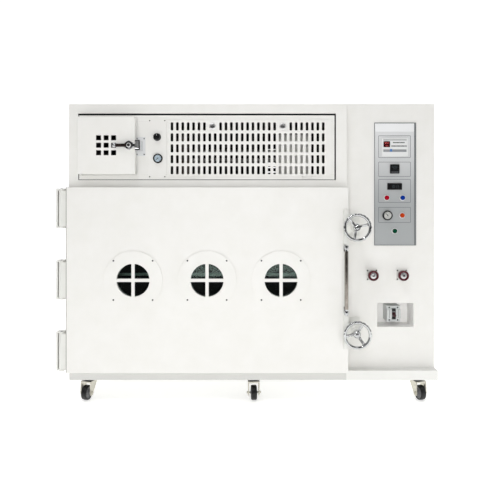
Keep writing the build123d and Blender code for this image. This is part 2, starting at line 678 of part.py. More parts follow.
with BuildPart() as clamp_lugs:
    for clamp_z in CLAMP_Z:
        with BuildSketch(facing(DOOR_FRONT)):
            with Locations((DOOR_RIGHT - LUG_FOOT_W / 2, clamp_z)):
                Rectangle(LUG_FOOT_W, LUG_H)
            with Locations(((DOOR_RIGHT - LUG_FOOT_W + CLAMP_X) / 2, clamp_z)):
                Rectangle(CLAMP_X - DOOR_RIGHT + LUG_FOOT_W, LUG_ARM_H)
            with Locations((CLAMP_X, clamp_z)):
                Circle(LUG_ARM_H / 2)
        extrude(amount=LUG_T)
        with BuildSketch(facing(LUG_FRONT)):
            with Locations((CLAMP_X, clamp_z)):
                Circle(BOSS_R)
        extrude(amount=BOSS_T)
        with BuildSketch(facing(DOOR_FRONT)):
            with Locations((CLAMP_X, clamp_z)):
                Circle(SCREW_R + RUNNING)
        extrude(amount=LUG_T + BOSS_T, mode=Mode.SUBTRACT)
keep("clamp_lugs", clamp_lugs)

with BuildPart() as clamp_receivers:
    receiver_l = PANEL_Y - DOOR_FRONT - RECEIVER_GAP
    for clamp_z in CLAMP_Z:
        with BuildSketch(facing(PANEL_Y)):
            with Locations((CLAMP_X, clamp_z)):
                Circle(RECEIVER_R)
        extrude(amount=receiver_l)
        with BuildSketch(facing(PANEL_Y)):
            with Locations((CLAMP_X + RECEIVER_FOOT / 2 - RECEIVER_R, clamp_z)):
                Rectangle(RECEIVER_FOOT, RECEIVER_FOOT + 30)
        extrude(amount=RECEIVER_FOOT_T)
        with BuildSketch(facing(PANEL_Y - RECEIVER_FOOT_T)):
            with Locations((CLAMP_X, clamp_z)):
                Circle(RECEIVER_BORE)
        extrude(amount=receiver_l, mode=Mode.SUBTRACT)
keep("clamp_receivers", clamp_receivers)


def handwheel(z, first_spoke):
    """A three-spoke cast wheel on its clamp screw."""
    hub_back = FACE_Y - HUB_BACK
    axis = Plane(origin=(CLAMP_X, hub_back, z), x_dir=(1, 0, 0), z_dir=(0, -1, 0))
    with BuildPart() as wheel:
        # screw from its nose to the hub
        with BuildSketch(axis.offset(-HUB_BACK - SCREW_NOSE)):
            Circle(SCREW_R)
        extrude(amount=HUB_BACK + SCREW_NOSE)
        # hub with its domed nut
        with BuildSketch(axis):
            Circle(HUB_R)
        extrude(amount=WHEEL_REACH - HUB_BACK - HUB_SET)
        with BuildSketch(axis.offset(WHEEL_REACH - HUB_BACK - HUB_SET)):
            Circle(CAP_NUT_R)
        extrude(amount=CAP_NUT_H)
        # rim with bevelled edges
        with BuildSketch(axis.offset(WHEEL_REACH - HUB_BACK - 2 * RIM_HALF)):
            Circle(RIM_R + RIM_HALF)
            Circle(RIM_R - RIM_HALF, mode=Mode.SUBTRACT)
        rim = extrude(amount=2 * RIM_HALF)
        rim_edges = rim.edges().filter_by(GeomType.CIRCLE)
        chamfer(wheel.edges().filter_by(lambda e: any(e.is_same(r) for r in rim_edges)), RIM_CUT)
        # spokes rise from the hub to the rim
        rise = WHEEL_REACH - HUB_BACK - RIM_HALF - SPOKE_START
        for k in range(3):
            turn = math.radians(first_spoke + 120 * k)
            out = Vector(math.cos(turn), 0, math.sin(turn))
            start = Vector(CLAMP_X, hub_back - SPOKE_START, z) + out * (HUB_R - 6)
            end = Vector(CLAMP_X, hub_back - SPOKE_START - rise, z) + out * RIM_R
            along = end - start
            across = Vector(-math.sin(turn), 0, math.cos(turn))
            with BuildSketch(Plane(origin=start, x_dir=across, z_dir=along)):
                Rectangle(SPOKE_W, SPOKE_T)
            extrude(amount=along.length)
    return wheel


keep("handwheel_upper", handwheel(CLAMP_Z[1], 15))
keep("handwheel_lower", handwheel(CLAMP_Z[0], 65))

# ---- Door handle ----------------------------------------------------------------------------
HANDLE_X = SPLIT_X - 17.0
HANDLE_GAP = 3.5  # between the handle's ends and the clamp lugs
HANDLE_R = 9.5
HANDLE_REACH = 40.0  # tube's centre line in front of the door
COLLAR_R = 11.0
COLLAR_H = 20.0
NECK_R = 6.0
NECK_H = 8.0  # slim neck between the tube and each collar
POST_R = 7.0
POST_FOOT_W = 16.0
POST_FOOT_H = 38.0
POST_FOOT_T = 6.0
HANDLE_LOW = CLAMP_Z[0] + LUG_H / 2 + HANDLE_GAP
HANDLE_HIGH = CLAMP_Z[1] - LUG_H / 2 - HANDLE_GAP

with BuildPart() as door_handle:
    handle_y = DOOR_FRONT - HANDLE_REACH
    with BuildSketch(Plane.XY.offset(HANDLE_LOW)):
        with Locations((HANDLE_X, handle_y)):
            Circle(NECK_R)
    extrude(amount=HANDLE_HIGH - HANDLE_LOW)
    with BuildSketch(Plane.XY.offset(HANDLE_LOW + COLLAR_H + NECK_H)):
        with Locations((HANDLE_X, handle_y)):
            Circle(HANDLE_R)
    extrude(amount=HANDLE_HIGH - HANDLE_LOW - 2 * (COLLAR_H + NECK_H))
    for collar_low, foot_side in ((HANDLE_LOW, 1), (HANDLE_HIGH - COLLAR_H, -1)):
        collar_z = collar_low + COLLAR_H / 2
        foot_z = collar_z + foot_side * (POST_FOOT_H - COLLAR_H) / 2
        with BuildSketch(Plane.XY.offset(collar_low)):
            with Locations((HANDLE_X, handle_y)):
                Circle(COLLAR_R)
        extrude(amount=COLLAR_H)
        with BuildSketch(facing(DOOR_FRONT)):
            with Locations((HANDLE_X, collar_z)):
                Circle(POST_R)
        extrude(amount=HANDLE_REACH)
        with BuildSketch(facing(DOOR_FRONT)):
            with Locations((HANDLE_X, foot_z)):
                RectangleRounded(POST_FOOT_W, POST_FOOT_H, POST_FOOT_W / 2 - 0.1)
        extrude(amount=POST_FOOT_T)
keep("door_handle", door_handle)

# ---- Plant compartment ----------------------------------------------------------------------
COVER_SET = 3.0  # the cover's face behind the front frame's
COVER_LEFT = 4.0  # gaps between cover and frame
COVER_RIGHT = 7.0
COVER_TOP = 9.0
COVER_BOTTOM = 3.0
COVER_W = BAY_W - COVER_LEFT - COVER_RIGHT
COVER_H = BAY_H - COVER_TOP - COVER_BOTTOM
COVER_X = BAY_X + (COVER_LEFT - COVER_RIGHT) / 2
COVER_Z = BAY_Z + (COVER_BOTTOM - COVER_TOP) / 2
COVER_Y = FACE_Y + COVER_SET
COVER_D = BAY_FOLD - SHEET - COVER_SET

SERVICE_W = 288.0
SERVICE_TOP = 14.0  # from the cover's top edge to the service door's
SERVICE_BOTTOM = 25.0
SERVICE_LEFT = 7.0  # from the cover's left edge
SERVICE_H = COVER_H - SERVICE_TOP - SERVICE_BOTTOM
SERVICE_X = COVER_X - COVER_W / 2 + SERVICE_LEFT + SERVICE_W / 2
SERVICE_Z = COVER_Z + (SERVICE_BOTTOM - SERVICE_TOP) / 2
SERVICE_T = 46.0
SERVICE_GAP = 4.0  # between its back and the front frame's plane
SERVICE_LIP = 12.0  # its back edge overlaps the opening behind it by this much
PIVOT_R = 3.0
PIVOT_INSET = 6.0
PIVOT_L = 7.0
EAR_PLATE = 5.0
VENT = 25.0
VENT_PITCH = 37.5
SERVICE_BACK = FACE_Y - SERVICE_GAP
SERVICE_FRONT = SERVICE_BACK - SERVICE_T
PIVOT_X = SERVICE_X - SERVICE_W / 2 + PIVOT_INSET
PIVOT_Y = SERVICE_BACK - PIVOT_INSET

INSTRUMENT_PLATE_W = 93.0
INSTRUMENT_PLATE_GAP = 57.0  # from the service door's right edge
INSTRUMENT_PLATE_TOP = 19.0  # from the cover's top edge
INSTRUMENT_PLATE_BOTTOM = 6.0
INSTRUMENT_PLATE_T = 2.0
INSTRUMENT_LIP = 15.0  # the plate laps over the cover's opening at its sides
INSTRUMENT_PLATE_H = COVER_H - INSTRUMENT_PLATE_TOP - INSTRUMENT_PLATE_BOTTOM
INSTRUMENT_PLATE_X = SERVICE_X + SERVICE_W / 2 + INSTRUMENT_PLATE_GAP + INSTRUMENT_PLATE_W / 2
INSTRUMENT_PLATE_Z = COVER_Z + (INSTRUMENT_PLATE_BOTTOM - INSTRUMENT_PLATE_TOP) / 2
KNOB_Z = COVER_Z + 52.5
KNOB_R = 20.0
KNOB_H = 24.0
KNOB_SHAFT_R = 4.0
GAUGE_X = INSTRUMENT_PLATE_X + 4.0
GAUGE_Z = COVER_Z - 56.5

GRILLE_LEFT = 1.0  # from the instrument plate's right edge
GRILLE_RIGHT = 19.0  # from the cover's edges
GRILLE_TOP = 21.5
GRILLE_BOTTOM = 15.5
GRILLE_X0 = INSTRUMENT_PLATE_X + INSTRUMENT_PLATE_W / 2 + GRILLE_LEFT
GRILLE_W = COVER_X + COVER_W / 2 - GRILLE_RIGHT - GRILLE_X0
GRILLE_H = COVER_H - GRILLE_TOP - GRILLE_BOTTOM
GRILLE_X = GRILLE_X0 + GRILLE_W / 2
GRILLE_Z = COVER_Z + (GRILLE_BOTTOM - GRILLE_TOP) / 2
GRILLE_LIP = 10.0
SLOT_W = 10.5
SLOT_H = 40.0
SLOT_PITCH = 27.53
SLOT_ROW = 55.75
SLOT_EDGE_X = 32.0  # least plain edge round the slots
SLOT_EDGE_Z = 13.0
SLOT_COLUMNS = int((GRILLE_W - 2 * SLOT_EDGE_X) / SLOT_PITCH) + 1
SLOT_ROWS = int((GRILLE_H - 2 * SLOT_EDGE_Z - SLOT_H) / SLOT_ROW) + 1
SLOT_X = GRILLE_X - 5.5
SLOT_Z = GRILLE_Z - 1.5
CAM_SPREAD = 6.5  # slot pitches from the middle to each cam lock
CAM_X = [SLOT_X - CAM_SPREAD * SLOT_PITCH, SLOT_X + CAM_SPREAD * SLOT_PITCH]
CAM_Z = SLOT_Z + (SLOT_ROWS - 1) / 2 * SLOT_ROW
CAM_HEAD_R = 17.0
CAM_HEAD_T = 6.0
CAM_BODY_R = 10.0
CAM_TONGUE = 34.0
CAM_TONGUE_W = 14.0
CAM_TONGUE_T = 3.0
CAM_TONGUE_TAIL = 5.0  # tongue beyond the body on its short side
CAM_REACH = 1.5  # the tongue behind the cover's sheet
CAM_SLOT_W = 3.0
CAM_SLOT_L = 20.0
CAM_SLOT_D = 2.0
GRILLE_BARREL_R = 4.0
GRILLE_AXIS_Z = GRILLE_Z - GRILLE_H / 2 - GRILLE_BARREL_R
GRILLE_AXIS_Y = COVER_Y - GRILLE_BARREL_R - SLIDE
GRILLE_HINGE_INSET = 118.5  # from the grille's ends
GRILLE_HINGES = [
    GRILLE_X - GRILLE_W / 2 + GRILLE_HINGE_INSET,
    GRILLE_X + GRILLE_W / 2 - GRILLE_HINGE_INSET,
]
GRILLE_PIN_R = 2.0
KNUCKLE = 30.0
KNUCKLE_END = 12.0
GRILLE_BACK = COVER_Y - SLIDE
GRILLE_FRONT = GRILLE_BACK - SHEET

COVER_SIDES = (COVER_X - COVER_W / 2, COVER_X + COVER_W / 2)
COVER_ENDS = (COVER_Z - COVER_H / 2, COVER_Z + COVER_H / 2)
OPENING_ENDS = (GRILLE_Z - GRILLE_H / 2 + GRILLE_LIP, GRILLE_Z + GRILLE_H / 2 - GRILLE_LIP)
SERVICE_OPENING = (
    SERVICE_X - SERVICE_W / 2 + SERVICE_LIP,
    SERVICE_X + SERVICE_W / 2 - SERVICE_LIP,
)
INSTRUMENT_OPENING = (
    INSTRUMENT_PLATE_X - INSTRUMENT_PLATE_W / 2 + INSTRUMENT_LIP,
    INSTRUMENT_PLATE_X + INSTRUMENT_PLATE_W / 2 - INSTRUMENT_LIP,
)
GRILLE_OPENING = (GRILLE_X - GRILLE_W / 2 + GRILLE_LIP, GRILLE_X + GRILLE_W / 2 - GRILLE_LIP)
SILL_TOP = SERVICE_Z - SERVICE_H / 2 + SERVICE_LIP


def cover_strip(x, z):
    """Strip of the welded cover frame, folded back where it reaches the frame's outer edge."""
    fold_x = (max(x[0], COVER_SIDES[0] + SHEET), min(x[1], COVER_SIDES[1] - SHEET))
    fold_z = (max(z[0], COVER_ENDS[0] + SHEET), min(z[1], COVER_ENDS[1] - SHEET))
    with BuildPart() as strip:
        with BuildSketch(facing(COVER_Y)):
            with Locations(((x[0] + x[1]) / 2, (z[0] + z[1]) / 2)):
                Rectangle(x[1] - x[0], z[1] - z[0])
        extrude(amount=-COVER_D)
        with BuildSketch(facing(COVER_Y + COVER_D)):
            with Locations(((fold_x[0] + fold_x[1]) / 2, (fold_z[0] + fold_z[1]) / 2)):
                Rectangle(fold_x[1] - fold_x[0], fold_z[1] - fold_z[0])
        extrude(amount=COVER_D - SHEET, mode=Mode.SUBTRACT)
    return strip.part


strips = [
    cover_strip(COVER_SIDES, (OPENING_ENDS[1], COVER_ENDS[1])),
    cover_strip(COVER_SIDES, (COVER_ENDS[0], OPENING_ENDS[0])),
    cover_strip((COVER_SIDES[0], SERVICE_OPENING[0]), OPENING_ENDS),
    cover_strip((SERVICE_OPENING[1], INSTRUMENT_OPENING[0]), OPENING_ENDS),
    cover_strip((INSTRUMENT_OPENING[1], GRILLE_OPENING[0]), OPENING_ENDS),
    cover_strip((GRILLE_OPENING[1], COVER_SIDES[1]), OPENING_ENDS),
    cover_strip(SERVICE_OPENING, (OPENING_ENDS[0], SILL_TOP)),
]

tabs = []
# ears that carry the service door's pivots
for side in (-1, 1):
    with BuildPart() as pivot_ear:
        with BuildSketch(Plane.XY.offset(SERVICE_Z + side * (SERVICE_H / 2 + SLIDE))):
            with Locations((PIVOT_X, (PIVOT_Y + COVER_Y) / 2)):
                Rectangle(2 * PIVOT_INSET, COVER_Y - PIVOT_Y)
            with Locations((PIVOT_X, PIVOT_Y)):
                Circle(PIVOT_INSET)
                Circle(PIVOT_R + RUNNING, mode=Mode.SUBTRACT)
        extrude(amount=side * EAR_PLATE)
    tabs.append(pivot_ear.part)
# fixed knuckles of the grille's hinges
for hinge_x in GRILLE_HINGES:
    for knuckle_x in (hinge_x - KNUCKLE / 2 - KNUCKLE_END - SLIDE, hinge_x + KNUCKLE / 2 + SLIDE):
        with BuildPart() as knuckle:
            with BuildSketch(Plane.YZ.offset(knuckle_x)):
                with Locations((GRILLE_AXIS_Y, GRILLE_AXIS_Z)):
                    Circle(GRILLE_BARREL_R)
                    Circle(GRILLE_PIN_R + RUNNING, mode=Mode.SUBTRACT)
                with Locations((COVER_Y - SLIDE, GRILLE_AXIS_Z - GRILLE_BARREL_R / 2)):
                    Rectangle(2 * SLIDE, GRILLE_BARREL_R)
            extrude(amount=KNUCKLE_END)
        tabs.append(knuckle.part)
keep_welded("compartment_panel", strips + tabs)

LATCH_INSET = 27.0  # from the service door's right edge
LATCH_X = SERVICE_X + SERVICE_W / 2 - LATCH_INSET
LATCH_Z = SERVICE_Z - 1.0
LATCH_STUD_R = 10.0
LATCH_STUD_L = 22.0
LATCH_HUB_R = 24.0
LATCH_HUB_BACK = 4.0  # hub above the door's face
LATCH_HUB_T = 16.0
LEVER_R = 6.5
LEVER_L = 82.0  # pivot to the end cap's far face
LEVER_CAP_R = 10.0
LEVER_CAP_L = 14.0
TONGUE_L = 30.0
TONGUE_W = 14.0

with BuildPart() as service_door:
    with BuildSketch(facing(SERVICE_BACK)):
        with Locations((SERVICE_X, SERVICE_Z)):
            Rectangle(SERVICE_W, SERVICE_H)
    extrude(amount=SERVICE_T)
    chamfer(service_door.faces().sort_by(Axis.Y)[0].edges(), 1.0)
    with BuildSketch(facing(SERVICE_BACK)):
        with Locations((SERVICE_X, SERVICE_Z)):
            Rectangle(SERVICE_W - 2 * SHEET, SERVICE_H - 2 * SHEET)
    extrude(amount=SERVICE_T - SHEET, mode=Mode.SUBTRACT)
    with BuildSketch(facing(SERVICE_BACK)):
        with Locations((SERVICE_X, SERVICE_Z)):
            with GridLocations(VENT_PITCH, VENT_PITCH, 3, 3):
                Rectangle(VENT, VENT)
    extrude(amount=SERVICE_T, mode=Mode.SUBTRACT)
    # pivot lugs inside the two left corners, with their pins
    for side in (-1, 1):
        with BuildSketch(Plane.XY.offset(SERVICE_Z + side * SERVICE_H / 2)):
            with Locations((PIVOT_X, PIVOT_Y)):
                Circle(PIVOT_INSET - 1)
        extrude(amount=-side * 14)
        with BuildSketch(Plane.XY.offset(SERVICE_Z + side * SERVICE_H / 2)):
            with Locations((PIVOT_X, PIVOT_Y)):
                Circle(PIVOT_R)
        extrude(amount=side * PIVOT_L)
    # stud that carries the latch
    with BuildSketch(facing(SERVICE_FRONT)):
        with Locations((LATCH_X, LATCH_Z)):
            Circle(LATCH_STUD_R)
    extrude(amount=LATCH_STUD_L)
    with BuildSketch(facing(SERVICE_FRONT)):
        with Locations((LATCH_X, LATCH_Z)):
            Circle(LATCH_HUB_R - 3)
    extrude(amount=LATCH_HUB_BACK - SLIDE)
keep("service_door", service_door)

with BuildPart() as latch_lever:
    hub_y = SERVICE_FRONT - LATCH_HUB_BACK
    lever_y = hub_y - LATCH_HUB_T / 2
    with BuildSketch(facing(hub_y)):
        with Locations((LATCH_X, LATCH_Z)):
            RegularPolygon(LATCH_HUB_R, 6)
    extrude(amount=LATCH_HUB_T)
    with BuildSketch(facing(hub_y)):
        with Locations((LATCH_X + TONGUE_L / 2, LATCH_Z)):
            Rectangle(TONGUE_L, TONGUE_W)
    extrude(amount=LATCH_HUB_T)
    with BuildSketch(Plane.YZ.offset(LATCH_X - LEVER_L)):
        with Locations((lever_y, LATCH_Z)):
            Circle(LEVER_R)
    extrude(amount=LEVER_L - LATCH_STUD_R - 4)
    with BuildSketch(Plane.YZ.offset(LATCH_X - LEVER_L)):
        with Locations((lever_y, LATCH_Z)):
            Circle(LEVER_CAP_R)
    extrude(amount=LEVER_CAP_L)
    with BuildSketch(facing(SERVICE_FRONT)):
        with Locations((LATCH_X, LATCH_Z)):
            Circle(LATCH_STUD_R + RUNNING)
    extrude(amount=LATCH_HUB_BACK + LATCH_HUB_T, mode=Mode.SUBTRACT)
keep("latch_lever", latch_lever)

STRIKE_GAP = 4.0  # between the service door and the strike
STRIKE_W = 26.0
STRIKE_X = SERVICE_X + SERVICE_W / 2 + STRIKE_GAP + STRIKE_W / 2
STRIKE_FOOT_W = 48.0
STRIKE_FOOT_H = 96.0
STRIKE_FOOT_T = 3.0
STRIKE_CHEEK_H = 8.0
STRIKE_MOUTH = 34.0
STRIKE_BACK_W = 8.0
STRIKE_FOOT_SHIFT = 2.0

with BuildPart() as latch_strike:
    with BuildSketch(facing(COVER_Y)):
        with Locations((STRIKE_X + STRIKE_FOOT_SHIFT, LATCH_Z)):
            Rectangle(STRIKE_FOOT_W, STRIKE_FOOT_H)
    extrude(amount=STRIKE_FOOT_T)
    strike_front = SERVICE_FRONT - LATCH_HUB_BACK - LATCH_HUB_T
    cheek_z = (STRIKE_MOUTH + STRIKE_CHEEK_H) / 2
    with BuildSketch(facing(COVER_Y)):
        with Locations((STRIKE_X, LATCH_Z - cheek_z), (STRIKE_X, LATCH_Z + cheek_z)):
            Rectangle(STRIKE_W, STRIKE_CHEEK_H)
        with Locations((STRIKE_X + (STRIKE_W - STRIKE_BACK_W) / 2, LATCH_Z)):
            Rectangle(STRIKE_BACK_W, STRIKE_MOUTH)
    extrude(amount=COVER_Y - strike_front)
keep("latch_strike", latch_strike)

GAUGE_R = 24.0
GAUGE_RIM = 3.5
GAUGE_PROUD = 14.0
GAUGE_DIAL = 4.0  # dial behind the rim
GAUGE_BODY_R = 18.5
GAUGE_BODY_D = 24.0
GAUGE_POST_R = 1.0

with BuildPart() as gauge_plate:
    with BuildSketch(facing(COVER_Y)):
        with Locations((INSTRUMENT_PLATE_X, INSTRUMENT_PLATE_Z)):
            Rectangle(INSTRUMENT_PLATE_W, INSTRUMENT_PLATE_H)
        with Locations((INSTRUMENT_PLATE_X, KNOB_Z)):
            Circle(KNOB_SHAFT_R + RUNNING, mode=Mode.SUBTRACT)
        with Locations((GAUGE_X, GAUGE_Z)):
            Circle(GAUGE_BODY_R + RUNNING, mode=Mode.SUBTRACT)
    extrude(amount=INSTRUMENT_PLATE_T)
keep("gauge_plate", gauge_plate)

with BuildPart() as regulator_knob:
    knob_y = COVER_Y - INSTRUMENT_PLATE_T - SLIDE
    with BuildSketch(facing(knob_y)):
        with Locations((INSTRUMENT_PLATE_X, KNOB_Z)):
            Circle(KNOB_R)
            with PolarLocations(KNOB_R + 0.6, 12):
                Circle(1.8, mode=Mode.SUBTRACT)
    extrude(amount=KNOB_H)
    with BuildSketch(facing(knob_y)):
        with Locations((INSTRUMENT_PLATE_X, KNOB_Z)):
            Circle(KNOB_SHAFT_R)
    extrude(amount=-20)
keep("regulator_knob", regulator_knob)

NEEDLE_L = 14.0
NEEDLE_W = 2.0
NEEDLE_T = 0.8
NEEDLE_HUB_R = 3.0


def disc(x, z, y, r, amount, mode=Mode.ADD):
    """A round piece of the part in hand, from depth y towards the front."""
    with BuildSketch(facing(y)) as outline:
        with Locations((x, z)):
            Circle(r)
    extrude(outline.sketch, amount=amount, mode=mode)


def gauge(x, z, y, r):
    """Round gauge: a rim, a sunk dial with the needle's post, and the works behind the panel."""
    disc(x, z, y, r, GAUGE_PROUD)
    disc(x, z, y - GAUGE_PROUD, r - GAUGE_RIM, -GAUGE_DIAL, Mode.SUBTRACT)
    disc(x, z, y, GAUGE_BODY_R, -GAUGE_BODY_D)
    disc(x, z, y - GAUGE_PROUD + GAUGE_DIAL, GAUGE_POST_R, GAUGE_DIAL - 1)


def needle(x, z, y, rest):
    """A pointer on the gauge's post, at its rest angle from +X."""
    dial = Plane(origin=(x, y - GAUGE_PROUD + GAUGE_DIAL - 1, z), x_dir=(1, 0, 0), z_dir=(0, -1, 0))
    with BuildPart() as pointer:
        with BuildSketch(Plane(dial.location * Location((0, 0, 0), (0, 0, rest)))):
            with Locations((NEEDLE_L / 2 - 2, 0)):
                Rectangle(NEEDLE_L + 4, NEEDLE_W)
            Circle(NEEDLE_HUB_R)
            Circle(GAUGE_POST_R + RUNNING, mode=Mode.SUBTRACT)
        extrude(amount=NEEDLE_T)
    return pointer


# ---- Control front --------------------------------------------------------------------------
CONTROL_PANEL_W = 217.0
CONTROL_PANEL_H = 638.0
CONTROL_PANEL_X = SPLIT_X + 261.5
CONTROL_PANEL_Z = CONTROL_ROOF_Z - 416.0
CONTROL_PANEL_T = 4.0
CONTROL_PANEL_LIP = 12.0
INSTRUMENT_X = CONTROL_PANEL_X - 3.5
PANEL_FOOT = CONTROL_PANEL_Z - CONTROL_PANEL_H / 2
RECESS_X = SPLIT_X + 263.5
RECESS_Z = FLOOR_Z + 272.0
RECESS_W = 189.0
RECESS_H = 124.0
RECESS_D = 120.0
VALVE_X = [SPLIT_X + 141.0, SPLIT_X + 296.0]
VALVE_Z = FLOOR_Z + 481.0
VALVE_BODY_R = 12.0
FRONT_W = CONTROL_W - JOINT_GAP
FRONT_X = SPLIT_X + JOINT_GAP + FRONT_W / 2
FRONT_H = CONTROL_ROOF_Z - FLOOR_Z
FRONT_Z = FLOOR_Z + FRONT_H / 2

with BuildPart() as control_front_panel:
    with BuildSketch(facing(PANEL_Y)):
        with Locations((FRONT_X, FRONT_Z)):
            Rectangle(FRONT_W, FRONT_H)
    extrude(amount=-FOLD)
    with BuildSketch(facing(PANEL_Y + FOLD)):
        with Locations((FRONT_X, FRONT_Z)):
            Rectangle(FRONT_W - 2 * SHEET, FRONT_H - 2 * SHEET)
    extrude(amount=FOLD - SHEET, mode=Mode.SUBTRACT)
    with BuildSketch(facing(PANEL_Y)):
        with Locations((RECESS_X, RECESS_Z)):
            Rectangle(RECESS_W + 2 * SHEET, RECESS_H + 2 * SHEET)
    extrude(amount=-RECESS_D - SHEET)
    with BuildSketch(facing(PANEL_Y)):
        with Locations((RECESS_X, RECESS_Z)):
            Rectangle(RECESS_W, RECESS_H)
    extrude(amount=-RECESS_D, mode=Mode.SUBTRACT)
    with BuildSketch(facing(PANEL_Y)):
        with Locations((CONTROL_PANEL_X, CONTROL_PANEL_Z)):
            Rectangle(
                CONTROL_PANEL_W - 2 * CONTROL_PANEL_LIP, CONTROL_PANEL_H - 2 * CONTROL_PANEL_LIP
            )
        with Locations([(x, VALVE_Z) for x in VALVE_X]):
            Circle(VALVE_BODY_R + RUNNING)
    extrude(amount=-SHEET, mode=Mode.SUBTRACT)
keep("control_front_panel", control_front_panel)

CONTROLLER_W = 135.0
CONTROLLER_H = 95.0
CONTROLLER_Z = PANEL_FOOT + 509.5
SMALL_CONTROLLER = 48.0
SMALL_CONTROLLER_Z = PANEL_FOOT + 397.0
METER_W = 75.0
METER_H = 34.0
METER_Z = PANEL_FOOT + 306.0
BEZEL = 5.0  # how far an instrument's bezel laps over its cut-out
BEZEL_PROUD = 9.0
INSTRUMENT_D = 80.0
BUTTON_PITCH = 41.0
BUTTON_Z = PANEL_FOOT + 247.5
VACUUM_ROW_Z = PANEL_FOOT + 156.0
GREEN_Z = PANEL_FOOT + 75.0
BUTTON_R = 12.0
LAMP_R = 10.0
RING_R = 14.5
RING_T = 5.0
CAP_REACH = 13.0
BUTTON_TRAVEL = 3.0
STEM_R = 5.0
STEM_L = 16.0
RED_X = INSTRUMENT_X - BUTTON_PITCH
BLUE_X = INSTRUMENT_X + BUTTON_PITCH
AMBER_X = INSTRUMENT_X + BUTTON_PITCH - 2
VACUUM_GAUGE_X = INSTRUMENT_X - BUTTON_PITCH + 3
PANEL_FRONT = PANEL_Y - CONTROL_PANEL_T
BUTTONS = {
    "red_button": (RED_X, BUTTON_Z),
    "blue_button": (BLUE_X, BUTTON_Z),
    "green_button": (INSTRUMENT_X, GREEN_Z),
}
INSTRUMENTS = [
    (CONTROLLER_Z, CONTROLLER_W, CONTROLLER_H),
    (SMALL_CONTROLLER_Z, SMALL_CONTROLLER, SMALL_CONTROLLER),
    (METER_Z, METER_W, METER_H),
]

with BuildPart() as control_panel:
    with BuildSketch(facing(PANEL_Y)):
        with Locations((CONTROL_PANEL_X, CONTROL_PANEL_Z)):
            Rectangle(CONTROL_PANEL_W, CONTROL_PANEL_H)
    extrude(amount=CONTROL_PANEL_T)
    with BuildSketch(facing(PANEL_FRONT)):
        with Locations(list(BUTTONS.values())):
            Circle(RING_R)
            Circle(BUTTON_R + SLIDE, mode=Mode.SUBTRACT)
    extrude(amount=RING_T)
    with BuildSketch(facing(PANEL_Y)):
        for z, w, h in INSTRUMENTS:
            with Locations((INSTRUMENT_X, z)):
                Rectangle(w - 2 * BEZEL, h - 2 * BEZEL)
        with Locations((VACUUM_GAUGE_X, VACUUM_ROW_Z)):
            Circle(GAUGE_BODY_R + RUNNING)
        with Locations((AMBER_X, VACUUM_ROW_Z)):
            Circle(LAMP_R + RUNNING)
        with Locations(list(BUTTONS.values())):
            Circle(STEM_R + RUNNING)
    extrude(amount=CONTROL_PANEL_T, mode=Mode.SUBTRACT)
keep("control_panel", control_panel)

with BuildPart() as panel_instruments:
    for z, w, h in INSTRUMENTS:
        with BuildSketch(facing(PANEL_FRONT)):
            with Locations((INSTRUMENT_X, z)):
                Rectangle(w, h)
        extrude(amount=BEZEL_PROUD)
        with BuildSketch(facing(PANEL_FRONT)):
            with Locations((INSTRUMENT_X, z)):
                Rectangle(w - 2 * BEZEL, h - 2 * BEZEL)
        extrude(amount=-INSTRUMENT_D)
    with BuildSketch(facing(PANEL_FRONT)):
        with Locations((AMBER_X, VACUUM_ROW_Z)):
            Circle(RING_R)
    extrude(amount=RING_T)
    with BuildSketch(facing(PANEL_FRONT - RING_T)):
        with Locations((AMBER_X, VACUUM_ROW_Z)):
            Circle(BUTTON_R)
    extrude(amount=CAP_REACH - RING_T)
    with BuildSketch(facing(PANEL_FRONT)):
        with Locations((AMBER_X, VACUUM_ROW_Z)):
            Circle(LAMP_R)
    extrude(amount=-INSTRUMENT_D / 2)
keep("panel_instruments", panel_instruments)

for name, (button_x, button_z) in BUTTONS.items():
    with BuildPart() as button:
        with BuildSketch(facing(PANEL_FRONT - BUTTON_TRAVEL - SLIDE)):
            with Locations((button_x, button_z)):
                Circle(BUTTON_R)
        extrude(amount=CAP_REACH - BUTTON_TRAVEL - SLIDE)
        with BuildSketch(facing(PANEL_FRONT - CAP_REACH + 2)):
            with Locations((button_x, button_z)):
                Circle(STEM_R)
        extrude(amount=-CAP_REACH + 2 - STEM_L)
    keep(name, button)

with BuildPart() as gauge_bodies:
    gauge(GAUGE_X, GAUGE_Z, COVER_Y - INSTRUMENT_PLATE_T, GAUGE_R)
    gauge(VACUUM_GAUGE_X, VACUUM_ROW_Z, PANEL_FRONT, GAUGE_R + 1.5)
keep("gauge_bodies", gauge_bodies)
keep("compartment_gauge_needle", needle(GAUGE_X, GAUGE_Z, COVER_Y - INSTRUMENT_PLATE_T, 225))
keep("vacuum_gauge_needle", needle(VACUUM_GAUGE_X, VACUUM_ROW_Z, PANEL_FRONT, 135))

